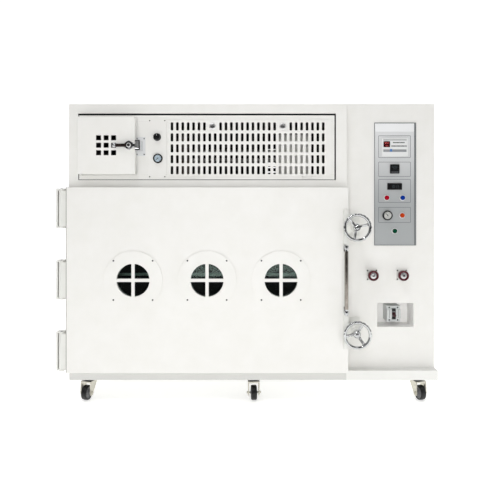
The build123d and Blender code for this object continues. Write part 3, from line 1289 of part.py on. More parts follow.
# ---- Grille and its cam locks ---------------------------------------------------------------
with BuildPart() as grille_panel:
    with BuildSketch(facing(GRILLE_BACK)):
        with Locations((GRILLE_X, GRILLE_Z)):
            Rectangle(GRILLE_W, GRILLE_H)
        slots = []
        for column in range(SLOT_COLUMNS):
            for row in range(SLOT_ROWS):
                slot_x = SLOT_X + (column - (SLOT_COLUMNS - 1) / 2) * SLOT_PITCH
                slot_z = SLOT_Z + (row - (SLOT_ROWS - 1) / 2) * SLOT_ROW
                if row == SLOT_ROWS - 1 and min(abs(slot_x - x) for x in CAM_X) < SLOT_PITCH:
                    continue
                slots.append((slot_x, slot_z))
        with Locations(slots):
            Rectangle(SLOT_W, SLOT_H, mode=Mode.SUBTRACT)
        with Locations([(x, CAM_Z) for x in CAM_X]):
            Circle(CAM_BODY_R + RUNNING, mode=Mode.SUBTRACT)
    extrude(amount=SHEET)
    for hinge_x in GRILLE_HINGES:
        with BuildSketch(Plane.YZ.offset(hinge_x - KNUCKLE / 2)):
            with Locations((GRILLE_AXIS_Y, GRILLE_AXIS_Z)):
                Circle(GRILLE_BARREL_R)
            with Locations((GRILLE_BACK - SHEET / 2, GRILLE_AXIS_Z + GRILLE_BARREL_R / 2)):
                Rectangle(SHEET, GRILLE_BARREL_R + 1)
        extrude(amount=KNUCKLE)
        with BuildSketch(Plane.YZ.offset(hinge_x - KNUCKLE / 2 - KNUCKLE_END)):
            with Locations((GRILLE_AXIS_Y, GRILLE_AXIS_Z)):
                Circle(GRILLE_PIN_R)
        extrude(amount=KNUCKLE + 2 * KNUCKLE_END)
keep("grille_panel", grille_panel)

for name, cam_x in zip(("cam_lock_left", "cam_lock_right"), CAM_X):
    with BuildPart() as cam_lock:
        with BuildSketch(facing(GRILLE_FRONT - SLIDE)):
            with Locations((cam_x, CAM_Z)):
                Circle(CAM_HEAD_R)
        extrude(amount=CAM_HEAD_T)
        with BuildSketch(facing(GRILLE_FRONT - SLIDE)):
            with Locations((cam_x, CAM_Z)):
                Circle(CAM_BODY_R)
        extrude(amount=-(SHEET + 2 * SLIDE + SHEET + CAM_REACH + CAM_TONGUE_T))
        with BuildSketch(facing(COVER_Y + SHEET + CAM_REACH)):
            with Locations((cam_x + CAM_TONGUE / 2 - CAM_TONGUE_TAIL, CAM_Z)):
                Rectangle(CAM_TONGUE, CAM_TONGUE_W)
        extrude(amount=-CAM_TONGUE_T)
        with BuildSketch(facing(GRILLE_FRONT - SLIDE - CAM_HEAD_T)):
            with Locations((cam_x, CAM_Z)):
                Rectangle(CAM_SLOT_L, CAM_SLOT_W)
        extrude(amount=-CAM_SLOT_D, mode=Mode.SUBTRACT)
    keep(name, cam_lock)

# ---- Plant behind the grille ----------------------------------------------------------------
PUMP_W = 178.0
PUMP_H = 222.0
PUMP_L = 200.0
PUMP_CORNER = 14.0
PUMP_INSET = 206.0  # from the compartment's right side
PUMP_X = BAY_X + BAY_W / 2 - PUMP_INSET
PUMP_FOOT_D = 30.0
PUMP_FOOT_INSET = 10.0
PUMP_Y = FACE_Y + 70.0
PUMP_FOOT_H = 44.0
MOTOR_R = 84.0
MOTOR_L = 230.0
TRAP_R = 51.0
TRAP_X = GRILLE_X0 + 69.0
TRAP_Y = FACE_Y + 120.0
TRAP_H = 262.0
TRAP_FLANGE = 8.0
PIPE_R = 11.0
PIPE_UPPER_Z = BAY_Z - 13.5
PIPE_LOWER_Z = BAY_Z - 58.5
MAIN_PIPE_R = 13.0
MAIN_PIPE_X = GRILLE_X0 + 165.0
DECK_TOP = DECK_Z + SHEET

with BuildPart() as vacuum_pump:
    pump_z = DECK_TOP + PUMP_FOOT_H + PUMP_H / 2
    with Locations((PUMP_X, PUMP_Y + PUMP_L / 2, pump_z)):
        Box(PUMP_W, PUMP_L, PUMP_H)
    fillet(vacuum_pump.edges().filter_by(Axis.Y), PUMP_CORNER)
    with BuildSketch(facing(PUMP_Y + PUMP_L)):
        with Locations((PUMP_X, pump_z)):
            Circle(MOTOR_R)
    extrude(amount=-MOTOR_L)
    foot_inset = PUMP_FOOT_INSET + PUMP_FOOT_D / 2
    with Locations(
        (PUMP_X, PUMP_Y + foot_inset, DECK_TOP + PUMP_FOOT_H / 2),
        (PUMP_X, PUMP_Y + PUMP_L - foot_inset, DECK_TOP + PUMP_FOOT_H / 2),
    ):
        Box(PUMP_W - 2 * PUMP_CORNER, PUMP_FOOT_D, PUMP_FOOT_H)
keep("vacuum_pump", vacuum_pump)

with BuildPart() as cold_trap:
    with BuildSketch(Plane.XY.offset(DECK_TOP)):
        with Locations((TRAP_X, TRAP_Y)):
            Circle(TRAP_R + TRAP_FLANGE)
    extrude(amount=TRAP_FLANGE)
    with BuildSketch(Plane.XY.offset(DECK_TOP)):
        with Locations((TRAP_X, TRAP_Y)):
            Circle(TRAP_R)
    extrude(amount=TRAP_H)
keep("cold_trap", cold_trap)

with BuildPart() as vacuum_pipes:
    run_start = TRAP_X + TRAP_R
    run_end = PUMP_X - PUMP_W / 2
    with BuildSketch(Plane.YZ.offset(run_start)):
        with Locations((TRAP_Y, PIPE_UPPER_Z), (TRAP_Y, PIPE_LOWER_Z)):
            Circle(PIPE_R)
    extrude(amount=run_end - run_start)
    with BuildSketch(Plane.XY.offset(DECK_TOP)):
        with Locations((MAIN_PIPE_X, TRAP_Y)):
            Circle(MAIN_PIPE_R)
    extrude(amount=ROOF_Z - SHEET - DECK_TOP)
keep("vacuum_pipes", vacuum_pipes)

# ---- Valves ---------------------------------------------------------------------------------
VALVE_PLATE = 60.0
VALVE_PLATE_T = 4.0
VALVE_COLLAR_R = 14.0
VALVE_COLLAR_H = 16.0
VALVE_STEM_R = 5.0
VALVE_KNOB_R = 27.5
VALVE_KNOB_BACK = 22.0  # knob's back in front of the panel
VALVE_KNOB_T = 26.0

with BuildPart() as valve_bodies:
    with BuildSketch(facing(PANEL_Y)):
        with Locations([(x, VALVE_Z) for x in VALVE_X]):
            Rectangle(VALVE_PLATE, VALVE_PLATE)
    extrude(amount=VALVE_PLATE_T)
    with BuildSketch(facing(PANEL_Y - VALVE_PLATE_T)):
        with Locations([(x, VALVE_Z) for x in VALVE_X]):
            Circle(VALVE_COLLAR_R)
    extrude(amount=VALVE_COLLAR_H)
    with BuildSketch(facing(PANEL_Y)):
        with Locations([(x, VALVE_Z) for x in VALVE_X]):
            Circle(VALVE_BODY_R)
    extrude(amount=-60)
    with BuildSketch(facing(PANEL_Y - VALVE_PLATE_T - VALVE_COLLAR_H)):
        with Locations([(x, VALVE_Z) for x in VALVE_X]):
            Circle(VALVE_STEM_R + RUNNING)
    extrude(amount=-40, mode=Mode.SUBTRACT)
keep("valve_bodies", valve_bodies)

for name, valve_x in zip(("valve_knob_left", "valve_knob_right"), VALVE_X):
    with BuildPart() as valve_knob:
        knob_back = PANEL_Y - VALVE_KNOB_BACK
        with BuildSketch(facing(knob_back)):
            with Locations((valve_x, VALVE_Z)):
                Circle(VALVE_KNOB_R)
        extrude(amount=VALVE_KNOB_T)
        chamfer(valve_knob.edges().filter_by(GeomType.CIRCLE), 4)
        with BuildSketch(facing(knob_back - VALVE_KNOB_T)):
            with Locations((valve_x, VALVE_Z)):
                Circle(VALVE_KNOB_R - 10)
        extrude(amount=-4, mode=Mode.SUBTRACT)
        with BuildSketch(facing(knob_back)):
            with Locations((valve_x, VALVE_Z)):
                Circle(VALVE_STEM_R)
        extrude(amount=-36)
    keep(name, valve_knob)

# ---- Breaker --------------------------------------------------------------------------------
BREAKER_W = 71.5
BREAKER_H = 82.0
BREAKER_SET = 31.0  # its face behind the control front
BREAKER_NOSE_H = 46.0
BREAKER_NOSE = 8.0
TOGGLE_W = 16.0
TOGGLE_R = 9.0
TOGGLE_REACH = 22.0
TOGGLE_ARM = 9.0
TOGGLE_TILT = 20.0  # degrees below level when off
TOGGLE_PIN_R = 2.0
BREAKER_Y = PANEL_Y + BREAKER_SET
BREAKER_D = RECESS_D - BREAKER_SET
TOGGLE_Y = BREAKER_Y + 2.0

with BuildPart() as breaker:
    with BuildSketch(facing(PANEL_Y + RECESS_D)):
        with Locations((RECESS_X, RECESS_Z - 1)):
            Rectangle(BREAKER_W, BREAKER_H)
    extrude(amount=BREAKER_D - BREAKER_NOSE)
    with BuildSketch(facing(BREAKER_Y + BREAKER_NOSE)):
        with Locations((RECESS_X, RECESS_Z - 1)):
            Rectangle(BREAKER_W, BREAKER_NOSE_H)
    extrude(amount=BREAKER_NOSE)
    with BuildSketch(facing(BREAKER_Y)):
        with Locations((RECESS_X, RECESS_Z - 1)):
            Rectangle(TOGGLE_W + 2 * SLIDE, 2 * TOGGLE_R + 8)
    extrude(amount=-14, mode=Mode.SUBTRACT)
    with BuildSketch(Plane.YZ.offset(RECESS_X - TOGGLE_W / 2 - SLIDE - 6)):
        with Locations((TOGGLE_Y, RECESS_Z - 1)):
            Circle(TOGGLE_PIN_R)
    extrude(amount=TOGGLE_W + 2 * SLIDE + 12)
keep("breaker", breaker)

with BuildPart() as breaker_toggle:
    arm_y = TOGGLE_REACH / 2 * math.cos(math.radians(TOGGLE_TILT))
    arm_z = TOGGLE_REACH / 2 * math.sin(math.radians(TOGGLE_TILT))
    with BuildSketch(Plane.YZ.offset(RECESS_X - TOGGLE_W / 2)):
        with Locations((TOGGLE_Y, RECESS_Z - 1)):
            Circle(TOGGLE_R)
        with Locations((TOGGLE_Y - arm_y, RECESS_Z - 1 - arm_z)):
            Rectangle(TOGGLE_REACH, TOGGLE_ARM, rotation=TOGGLE_TILT)
        with Locations((TOGGLE_Y, RECESS_Z - 1)):
            Circle(TOGGLE_PIN_R + RUNNING, mode=Mode.SUBTRACT)
    extrude(amount=TOGGLE_W)
keep("breaker_toggle", breaker_toggle)
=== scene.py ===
# %% [markdown]
# A floor-standing vacuum oven
#
# The machine is a steel chamber with a heavy clamped door, a plant compartment over it and a
# control section beside it.  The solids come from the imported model, already in place and at
# their real size, so this lesson starts from them.  It lights them, gives every piece the
# finish of its real material, and replaces the plain pieces that the hand touches with
# shapes that are turned, cast or pressed as the real ones are.

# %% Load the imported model
import json
import math
import bpy
import bmesh
from mathutils import Matrix, Vector

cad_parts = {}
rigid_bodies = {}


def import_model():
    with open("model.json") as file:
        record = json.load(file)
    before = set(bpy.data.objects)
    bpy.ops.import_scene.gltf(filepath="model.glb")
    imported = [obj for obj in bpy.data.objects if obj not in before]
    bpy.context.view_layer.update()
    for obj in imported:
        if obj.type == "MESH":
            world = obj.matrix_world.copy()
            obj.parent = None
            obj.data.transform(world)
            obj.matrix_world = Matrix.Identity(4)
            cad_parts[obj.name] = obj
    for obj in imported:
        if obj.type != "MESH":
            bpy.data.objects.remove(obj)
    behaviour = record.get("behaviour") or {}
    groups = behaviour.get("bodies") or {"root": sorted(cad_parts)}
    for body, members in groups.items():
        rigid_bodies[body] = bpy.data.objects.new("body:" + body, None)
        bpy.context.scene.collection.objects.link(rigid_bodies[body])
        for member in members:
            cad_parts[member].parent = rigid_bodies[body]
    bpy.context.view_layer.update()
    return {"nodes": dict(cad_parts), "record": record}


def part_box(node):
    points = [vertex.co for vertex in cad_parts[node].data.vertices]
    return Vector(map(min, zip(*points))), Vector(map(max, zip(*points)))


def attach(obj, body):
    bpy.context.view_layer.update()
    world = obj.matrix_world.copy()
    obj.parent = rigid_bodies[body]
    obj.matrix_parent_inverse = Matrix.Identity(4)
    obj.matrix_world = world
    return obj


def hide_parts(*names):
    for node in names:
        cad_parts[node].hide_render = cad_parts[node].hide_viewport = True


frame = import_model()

# %% [markdown]
# The camera
#
# The camera is a little to the right of the middle, one metre up and about three metres in
# front of the door.  A level camera keeps upright edges upright.  Sliding the lens up or
# down (the shift) puts the machine in the middle of the picture without tilting the camera,
# as is done for tall things in a catalogue.

# %% Set the camera
MM = 0.001
CAMERA_PLACE = (9.2, -3240.0, 1000.0)  # mm
CAMERA_LENS = 40.0
CAMERA_SHIFT = -0.09

lens = bpy.data.cameras.new("camera")
lens.lens = CAMERA_LENS
lens.sensor_width = 36.0
lens.shift_y = CAMERA_SHIFT
lens.clip_end = 200.0
camera = bpy.data.objects.new("camera", lens)
camera.location = Vector(CAMERA_PLACE) * MM
camera.rotation_euler = (math.radians(90), 0, 0)
bpy.context.scene.collection.objects.link(camera)
bpy.context.scene.camera = camera
bpy.context.scene.view_settings.view_transform = "Standard"
print("camera at", [round(c, 3) for c in camera.location])

# %% [markdown]
# Colours and nodes
#
# Paint charts give colours as sRGB codes, and the shader wants linear light.  One function
# turns the first into the second.  A second function adds a node: it sets what the node is,
# what its inputs hold, and which outputs of other nodes feed them.  A third starts a
# material with one surface shader.

# %% Colour, node and material
def colour(code):
    """Linear colour of an sRGB code such as #F0F0EB."""
    channels = [int(code[i : i + 2], 16) / 255 for i in (1, 3, 5)]
    linear = [c / 12.92 if c <= 0.04045 else ((c + 0.055) / 1.055) ** 2.4 for c in channels]
    return (*linear, 1.0)


def add_node(tree, kind, inputs=None, **settings):
    """Add a node: settings are its properties, inputs its values or the outputs that feed it."""
    node = tree.nodes.new(kind)
    for name, value in settings.items():
        setattr(node, name, value)
    for name, value in (inputs or {}).items():
        if isinstance(value, bpy.types.NodeSocket):
            tree.links.new(value, node.inputs[name])
        else:
            node.inputs[name].default_value = value
    return node


def start_material(name, code, roughness, metallic=0.0, ior=None):
    """A new material with one surface shader; returns it with its nodes and that shader."""
    material = bpy.data.materials.new(name)
    material.use_nodes = True
    tree = material.node_tree
    shader = tree.nodes["Principled BSDF"]
    shader.inputs["Base Color"].default_value = colour(code)
    shader.inputs["Roughness"].default_value = roughness
    shader.inputs["Metallic"].default_value = metallic
    if ior is not None:
        shader.inputs["IOR"].default_value = ior
    return material, tree, shader


print("linear value of middle grey:", round(colour("#808080")[0], 3))

# %% [markdown]
# Patterns
#
# No real surface is even.  Noise sized in millimetres gives its grain, and the noise then
# shifts the colour, the roughness or the height a little.  Where a finish changes at a known
# place, such as the hidden side of a sheet, a box in the object's own axes marks it out.

# %% Grain, spread, tint, box and relief
NOISE = (0.3, 0.7)  # most of a noise's values lie between these


def grain(tree, size_mm, detail=2.0, stretch=(1, 1, 1)):
    """Noise whose blotches are about size_mm across, drawn out along an axis by stretch."""
    place = add_node(tree, "ShaderNodeTexCoord")
    scale = add_node(
        tree, "ShaderNodeMapping", {"Vector": place.outputs["Object"], "Scale": stretch}
    )
    blotches = {"Vector": scale.outputs["Vector"], "Scale": 1 / (size_mm * MM), "Detail": detail}
    return add_node(tree, "ShaderNodeTexNoise", blotches)


def spread(tree, value, low, high):
    """Stretch the middle of a 0 to 1 value, where noise mostly lies, onto low to high."""
    ends = {"From Min": NOISE[0], "From Max": NOISE[1], "To Min": low, "To Max": high}
    return add_node(tree, "ShaderNodeMapRange", {"Value": value, **ends}).outputs["Result"]


def tint(tree, value, low_code, high_code):
    """Colour between two codes, by a 0 to 1 value stretched in the same way."""
    place = spread(tree, value, 0.0, 1.0)
    ends = {"Factor": place, "A": colour(low_code), "B": colour(high_code)}
    return add_node(tree, "ShaderNodeMix", ends, data_type="RGBA").outputs["Result"]


def inside(tree, low, high):
    """One inside the box between two corners in millimetres, and nought outside it."""
    centre = (Vector(low) + Vector(high)) / 2 * MM
    half = (Vector(high) - Vector(low)) / 2 * MM
    place = add_node(tree, "ShaderNodeTexCoord")
    moved = add_node(
        tree, "ShaderNodeVectorMath", {0: place.outputs["Object"], 1: centre}, operation="SUBTRACT"
    )
    scaled = add_node(
        tree, "ShaderNodeVectorMath", {0: moved.outputs[0], 1: half}, operation="DIVIDE"
    )
    size = add_node(tree, "ShaderNodeVectorMath", {0: scaled.outputs[0]}, operation="ABSOLUTE")
    axes = add_node(tree, "ShaderNodeSeparateXYZ", {"Vector": size.outputs[0]})
    most = axes.outputs[0]
    for other in axes.outputs[1:]:
        most = add_node(tree, "ShaderNodeMath", {0: most, 1: other}, operation="MAXIMUM").outputs[0]
    return add_node(tree, "ShaderNodeMath", {0: most, 1: 1.0}, operation="LESS_THAN").outputs[0]


def emboss(tree, shader, value, depth_mm):
    """Bump of depth_mm from a 0 to 1 value."""
    relief = {"Height": value, "Distance": depth_mm * MM, "Strength": 1.0}
    node = add_node(tree, "ShaderNodeBump", relief)
    tree.links.new(node.outputs["Normal"], shader.inputs["Normal"])


print("noise is stretched from", NOISE)

# %% [markdown]
# Light
#
# The machine stands in a white studio.  A wide lamp beside the camera gives most of the
# light, so even the shadows are bright.  A smaller lamp high in front, a little to the left,
# draws a soft shadow under everything that stands proud, and a weak one from the right fills
# it.  Polished chrome shows what it looks at, and the wide lamp would turn it as white as
# the paint, so reflections leave that lamp out.

# %% Hang the lamps
LAMP_AIM = (0.0, -0.4, 0.8)  # m, the middle of the machine's front
LAMPS = (  # place and size in metres, power in watts
    ("key_lamp", (-1.3, -3.2, 5.6), 0.9, 50.0),
    ("fill_lamp", (4.6, -3.6, 1.6), 1.6, 11.0),
    ("wide_lamp", (0.1, -5.2, 0.95), 2.6, 116.0),
)
for name, place, size, power in LAMPS:
    light = bpy.data.lights.new(name, "AREA")
    light.shape = "SQUARE"
    light.size = size
    light.energy = power
    lamp = bpy.data.objects.new(name, light)
    lamp.location = place
    heading = Vector(LAMP_AIM) - Vector(place)
    lamp.rotation_euler = heading.to_track_quat("-Z", "Y").to_euler()
    lamp.visible_glossy = name != "wide_lamp"
    bpy.context.scene.collection.objects.link(lamp)
print("lamps:", len(bpy.data.lights))

# %% [markdown]
# The room
#
# Chrome looks like chrome only when it has both dark and bright things to show.  The sky is
# a simple picture of a room: dark low down, pale overhead, and dark curtains with bright
# windows between them from left to right.  Behind the machine it turns plain white, which
# is the backdrop.

# %% Paint the room
SKY_BEHIND = 1.06  # brightness of the backdrop
SKY_TURN = (-0.45, 0.15)  # from front to back, where the room gives way to the backdrop
HEIGHTS = ((0.40, 0.02), (0.55, 0.02), (0.67, 0.40))  # place from floor to sky, brightness
STRIPS = (  # place from left to right, brightness
    (0.10, 1.5), (0.20, 0.10), (0.30, 0.08), (0.34, 2.4), (0.40, 2.4), (0.43, 0.08),
    (0.56, 0.06), (0.60, 2.2), (0.66, 2.2), (0.70, 0.10), (0.82, 0.10), (0.90, 1.5),
)

world = bpy.data.worlds.new("white_room")
bpy.context.scene.world = world
world.use_nodes = True
sky = world.node_tree
way = add_node(sky, "ShaderNodeTexCoord")
axes = add_node(sky, "ShaderNodeSeparateXYZ", {"Vector": way.outputs["Generated"]})
levels = []
for axis, stops in (("Z", HEIGHTS), ("X", STRIPS)):
    share = add_node(sky, "ShaderNodeMapRange", {"Value": axes.outputs[axis], "From Min": -1.0})
    ramp = add_node(sky, "ShaderNodeValToRGB", {"Fac": share.outputs["Result"]})
    elements = ramp.color_ramp.elements
    elements[0].position = stops[0][0]
    elements[1].position = stops[-1][0]
    for place, _ in stops[1:-1]:
        elements.new(place)
    for element, (_, level) in zip(elements, stops):
        element.color = (level, level, level, 1)
    levels.append(ramp.outputs["Color"])
product = {"Factor": 1.0, "A": levels[0], "B": levels[1]}
room = add_node(sky, "ShaderNodeMix", product, data_type="RGBA", blend_type="MULTIPLY")
turn_ends = {"Value": axes.outputs["Y"], "From Min": SKY_TURN[0], "From Max": SKY_TURN[1]}
behind = add_node(sky, "ShaderNodeMapRange", turn_ends)
backdrop = (SKY_BEHIND, SKY_BEHIND, SKY_BEHIND, 1)
halves = {"Factor": behind.outputs["Result"], "A": room.outputs["Result"], "B": backdrop}
sky_mix = add_node(sky, "ShaderNodeMix", halves, data_type="RGBA")
sky.links.new(sky_mix.outputs["Result"], sky.nodes["Background"].inputs["Color"])
print("room:", len(HEIGHTS), "heights and", len(STRIPS), "strips")

# %% [markdown]
# Floor and paper
#
# White paper lies under the machine.  It glows faintly, so that its far end melts into the
# backdrop.  It ends behind the camera, and the studio's dark floor beyond it is what glass
# and black plastic reflect, which keeps them deep.

# %% Lay the floor
FLOOR_SIZE = 60.0  # m
FLOOR_GLOW = 0.48
PAPER_EDGE = -3.4  # m, where the white paper ends
PAPER_FADE = 0.4  # m, over which it ends
PAPER_WHITE, FLOOR_DARK = "#F4F4F2", "#242424"

floor_material, floor_tree, floor_shader = start_material("painted_floor", PAPER_WHITE, 0.6)
place = add_node(floor_tree, "ShaderNodeTexCoord")
axes = add_node(floor_tree, "ShaderNodeSeparateXYZ", {"Vector": place.outputs["Object"]})
paper_end = PAPER_EDGE - PAPER_FADE
edge_ends = {"Value": axes.outputs["Y"], "From Min": paper_end, "From Max": PAPER_EDGE}
paper = add_node(floor_tree, "ShaderNodeMapRange", edge_ends)
tones = {"Factor": paper.outputs["Result"], "A": colour(FLOOR_DARK), "B": colour(PAPER_WHITE)}
skin = add_node(floor_tree, "ShaderNodeMix", tones, data_type="RGBA")
product = {0: paper.outputs["Result"], 1: FLOOR_GLOW}
glow = add_node(floor_tree, "ShaderNodeMath", product, operation="MULTIPLY")
floor_tree.links.new(skin.outputs["Result"], floor_shader.inputs["Base Color"])
floor_shader.inputs["Emission Color"].default_value = (1, 1, 1, 1)
floor_tree.links.new(glow.outputs[0], floor_shader.inputs["Emission Strength"])
floor_mesh = bpy.data.meshes.new("floor")
half = FLOOR_SIZE / 2
corners = [(-half, -half, 0), (half, -half, 0), (half, half, 0), (-half, half, 0)]
floor_mesh.from_pydata(corners, [], [(0, 1, 2, 3)])
floor_mesh.materials.append(floor_material)
floor = bpy.data.objects.new("floor", floor_mesh)
bpy.context.scene.collection.objects.link(floor)
print("floor:", FLOOR_SIZE, "m, paper up to", PAPER_EDGE)

# %% [markdown]
# A screen for the camera alone
#
# Seen from behind or from above, the dark half of the room would stand at the machine's
# back.  A white sphere and a white strip over the dark floor cover it.  Only the camera sees
# them, so light and reflections stay as they are.

# %% Hang the screen
SCREEN_R = 80.0  # m
STRIP_LIFT = 0.001  # m over the floor

screen_material, _, screen_shader = start_material("white_screen", "#000000", 1.0)
screen_shader.inputs["Emission Color"].default_value = (1, 1, 1, 1)
screen_shader.inputs["Emission Strength"].default_value = SKY_BEHIND
screen_shape = bmesh.new()
bmesh.ops.create_icosphere(screen_shape, subdivisions=3, radius=SCREEN_R)
front = PAPER_EDGE + 0.1
corners = [(-half, -half), (half, -half), (half, front), (-half, front)]
screen_shape.faces.new([screen_shape.verts.new((x, y, STRIP_LIFT)) for x, y in corners])
screen_mesh = bpy.data.meshes.new("screen")
screen_shape.to_mesh(screen_mesh)
screen_shape.free()
screen_mesh.materials.append(screen_material)
screen = bpy.data.objects.new("screen", screen_mesh)
bpy.context.scene.collection.objects.link(screen)
for ray in ("diffuse", "glossy", "transmission", "volume_scatter", "shadow"):
    setattr(screen, f"visible_{ray}", False)
print("screen radius:", SCREEN_R, "m")

# %% [markdown]
# Powder-coated steel
#
# The cabinet is folded sheet steel.  Powder paint is sprayed on dry and baked, so it flows
# into a skin with a very fine orange peel and no brush marks.  The paint is a plastic: it
# keeps the IOR of 1.5 and shines softly.  Large sheets are never quite flat, which shows as
# slow waves in the shine.  The peel is about 1.5 mm across on the real paint and is drawn at
# 4 mm here, so that it still shows from three metres.

# %% Paints
PEEL = 4.0  # mm
PEEL_DEPTH = 0.03
SMEAR = 70.0  # mm across the marks of hands and cloths
SHEET_WAVE = 240.0  # mm between slow waves in a large sheet
# Painted shade: the inside of the plant compartment is painted near black.
COMPARTMENT_SHADE_CODE = "#0B0B0C"
COMPARTMENT_SHADE_BOX = ((-912.6, -407.0, 1000.0), (501.6, 489.6, 1513.6))  # mm, inside the plant compartment
DOOR_SHADOW_BOX = ((-960.0, -500.0, 100.0), (500.0, 0.0, 155.5))  # mm, base's edge in the door's shade
# Painted light: the breaker's recess is painted paler than the rest of the front.
RECESS_LIGHT_BOX = ((660.0, -349.4, 350.0), (870.0, -200.0, 500.0))  # mm, round the breaker


def powder_coat(name, code, worn_code, roughness, wave_mm=0.5, painted_box=None, painted_code=COMPARTMENT_SHADE_CODE):
    """Baked powder paint: fine peel, slow waves and a trace of handling.

    Within the box painted_box, the colour painted_code is painted in place of the coat, as
    painted shade or painted light; each paint below says which.
    """
    material, tree, shader = start_material(name, code, roughness, ior=1.5)
    peel = grain(tree, PEEL, 3.0)
    wave = grain(tree, SHEET_WAVE, 1.0)
    smear = grain(tree, SMEAR, 4.0)
    skin = tint(tree, smear.outputs["Fac"], code, worn_code)
    if painted_box:
        coats = {"Factor": inside(tree, *painted_box), "A": skin, "B": colour(painted_code)}
        skin = add_node(tree, "ShaderNodeMix", coats, data_type="RGBA").outputs["Result"]
    tree.links.new(skin, shader.inputs["Base Color"])
    tree.links.new(
        spread(tree, smear.outputs["Fac"], roughness - 0.03, roughness + 0.04),
        shader.inputs["Roughness"],
    )
    bump = None
    for height, depth_mm in ((wave, wave_mm), (peel, PEEL_DEPTH)):
        relief = {"Height": height.outputs["Fac"], "Distance": depth_mm * MM, "Strength": 1.0}
        if bump:
            relief["Normal"] = bump.outputs["Normal"]
        bump = add_node(tree, "ShaderNodeBump", relief)
    tree.links.new(bump.outputs["Normal"], shader.inputs["Normal"])
    return material


# Off-white coat on folded sheet: even and half matt, with a soft broad shine.  Inside the
# plant compartment it is painted near black, as painted shade.
CABINET_PAINT = powder_coat("cabinet_powder_coat", "#E6E5E2", "#E3E2DE", 0.42, painted_box=COMPARTMENT_SHADE_BOX)
# The same paint on the doors, wiped more often and a little glossier; inside the plant
# compartment it too is painted near black, as painted shade.
DOOR_PAINT = powder_coat("door_powder_coat", "#E5E4E1", "#E2E1DD", 0.38, painted_box=COMPARTMENT_SHADE_BOX)
# On the control front; round the breaker the paint is paler, as painted light in its recess.
FRONT_PAINT = powder_coat(
    "front_powder_coat", "#E6E5E2", "#E3E2DE", 0.42, painted_box=RECESS_LIGHT_BOX, painted_code="#FBFAF8"
)
# On the base, painted greyer along its front under the door, as the door's shadow.
BASE_PAINT = powder_coat(
    "base_powder_coat", "#E5E5E2", "#E2E2DE", 0.42, painted_box=DOOR_SHADOW_BOX, painted_code="#CBCBC8"
)
# On small thick fittings, which don't wave as sheet does, so their shine is steady.
FITTING_PAINT = powder_coat("fitting_powder_coat", "#DFDFDB", "#DADAD5", 0.40, wave_mm=0.05)
print("paints:", CABINET_PAINT.name, DOOR_PAINT.name, FITTING_PAINT.name)

# %% [markdown]
# Metals
#
# Two functions cover the metals.  A plated one is smooth, with faint clouds left in its
# polish.  Stainless steel 304 is brushed along the sheet, so its grain is long one way and
# its roughness changes across the grain.  The brush marks are drawn coarser than they are,
# so that they show.  A metal's colour is its reflection, so it sits in the base colour with
# metallic at one.

# %% Metals
# Painted highlight: the colour of the shelves' front lip.
LIP_HIGHLIGHT = "#C8CAC9"
BRUSH = 1.6  # mm between brush marks; the real ones are about 0.1 mm


def plated(name, code, roughness, cloud_mm, cloud_depth):
    """A plated or cast metal with faint clouds in its polish."""
    material, tree, shader = start_material(name, code, roughness, metallic=1.0)
    cloud = grain(tree, cloud_mm, 3.0)
    tree.links.new(
        spread(tree, cloud.outputs["Fac"], roughness * 0.7, roughness * 1.5),
        shader.inputs["Roughness"],
    )
    emboss(tree, shader, cloud.outputs["Fac"], cloud_depth)
    return material


def brushed(name, code, dark_code, roughness, stretch, highlight_box=None):
    """Sheet or tube brushed along one axis: stretch is small along the brushing.

    Within the box highlight_box, the steel is painted bright, as a painted highlight.
    """
    material, tree, shader = start_material(name, code, roughness, metallic=1.0)
    marks = grain(tree, BRUSH, 4.0, stretch)
    skin = tint(tree, marks.outputs["Fac"], dark_code, code)
    if highlight_box:
        skins = {"Factor": inside(tree, *highlight_box), "A": skin, "B": colour(LIP_HIGHLIGHT)}
        skin = add_node(tree, "ShaderNodeMix", skins, data_type="RGBA").outputs["Result"]
    tree.links.new(skin, shader.inputs["Base Color"])
    tree.links.new(
        spread(tree, marks.outputs["Fac"], roughness + 0.08, roughness - 0.06),
        shader.inputs["Roughness"],
    )
    emboss(tree, shader, marks.outputs["Fac"], 0.02)
    return material


# Bright chrome over nickel: a mirror, slightly cold.
CHROME = plated("chrome_plate", "#BCBDBF", 0.05, 12.0, 0.01)
# Chromed casting, polished by hand first: a mirror with a faint ripple.
CAST_CHROME = plated("chromed_casting", "#C4C5C6", 0.06, 9.0, 0.04)
# Zinc passivated to a pale yellow: cloudy and half matt.
ZINC = plated("zinc_plate_passivated", "#D2CFC4", 0.34, 10.0, 0.03)
# Sheet brushed along its length: long soft streaks of light.
STAINLESS_SHEET = brushed("brushed_stainless_sheet", "#C3C3C1", "#AFAFAC", 0.30, (0.04, 1, 1))
# Tube brushed along its length: one narrow streak from end to end.
STAINLESS_TUBE = brushed("brushed_stainless_tube", "#A39D96", "#857E77", 0.22, (1, 1, 0.05))
# Chamber sheet painted dark as the shade inside the closed chamber: smoky, with no clear image in
# it.
CHAMBER_STEEL = brushed("shade_darkened_stainless", "#4A4C4E", "#3A3C3F", 0.42, (0.04, 1, 1))
# Shelves, painted darker still as shade, with a painted highlight along the front lip.
SHELF_LIP = 4.0  # mm
AROUND = Vector((9, 9, 9))  # mm, so that the box's other faces stand clear of the shelves
shelf_low, shelf_high = (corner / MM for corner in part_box("shelves"))
lip_high = Vector((shelf_high.x, shelf_low.y + SHELF_LIP - AROUND.y, shelf_high.z)) + AROUND
SHELF_STEEL = brushed(
    "shade_darkened_shelf", "#1E2022", "#17191B", 0.70, (0.04, 1, 1),
    highlight_box=(shelf_low - AROUND, lip_high),
)
# Pipe drawn through a die: pale, with fine lines along it.
PIPE_STEEL = brushed("drawn_stainless_pipe", "#BDBDBB", "#A4A4A1", 0.32, (0.1, 1, 0.1))
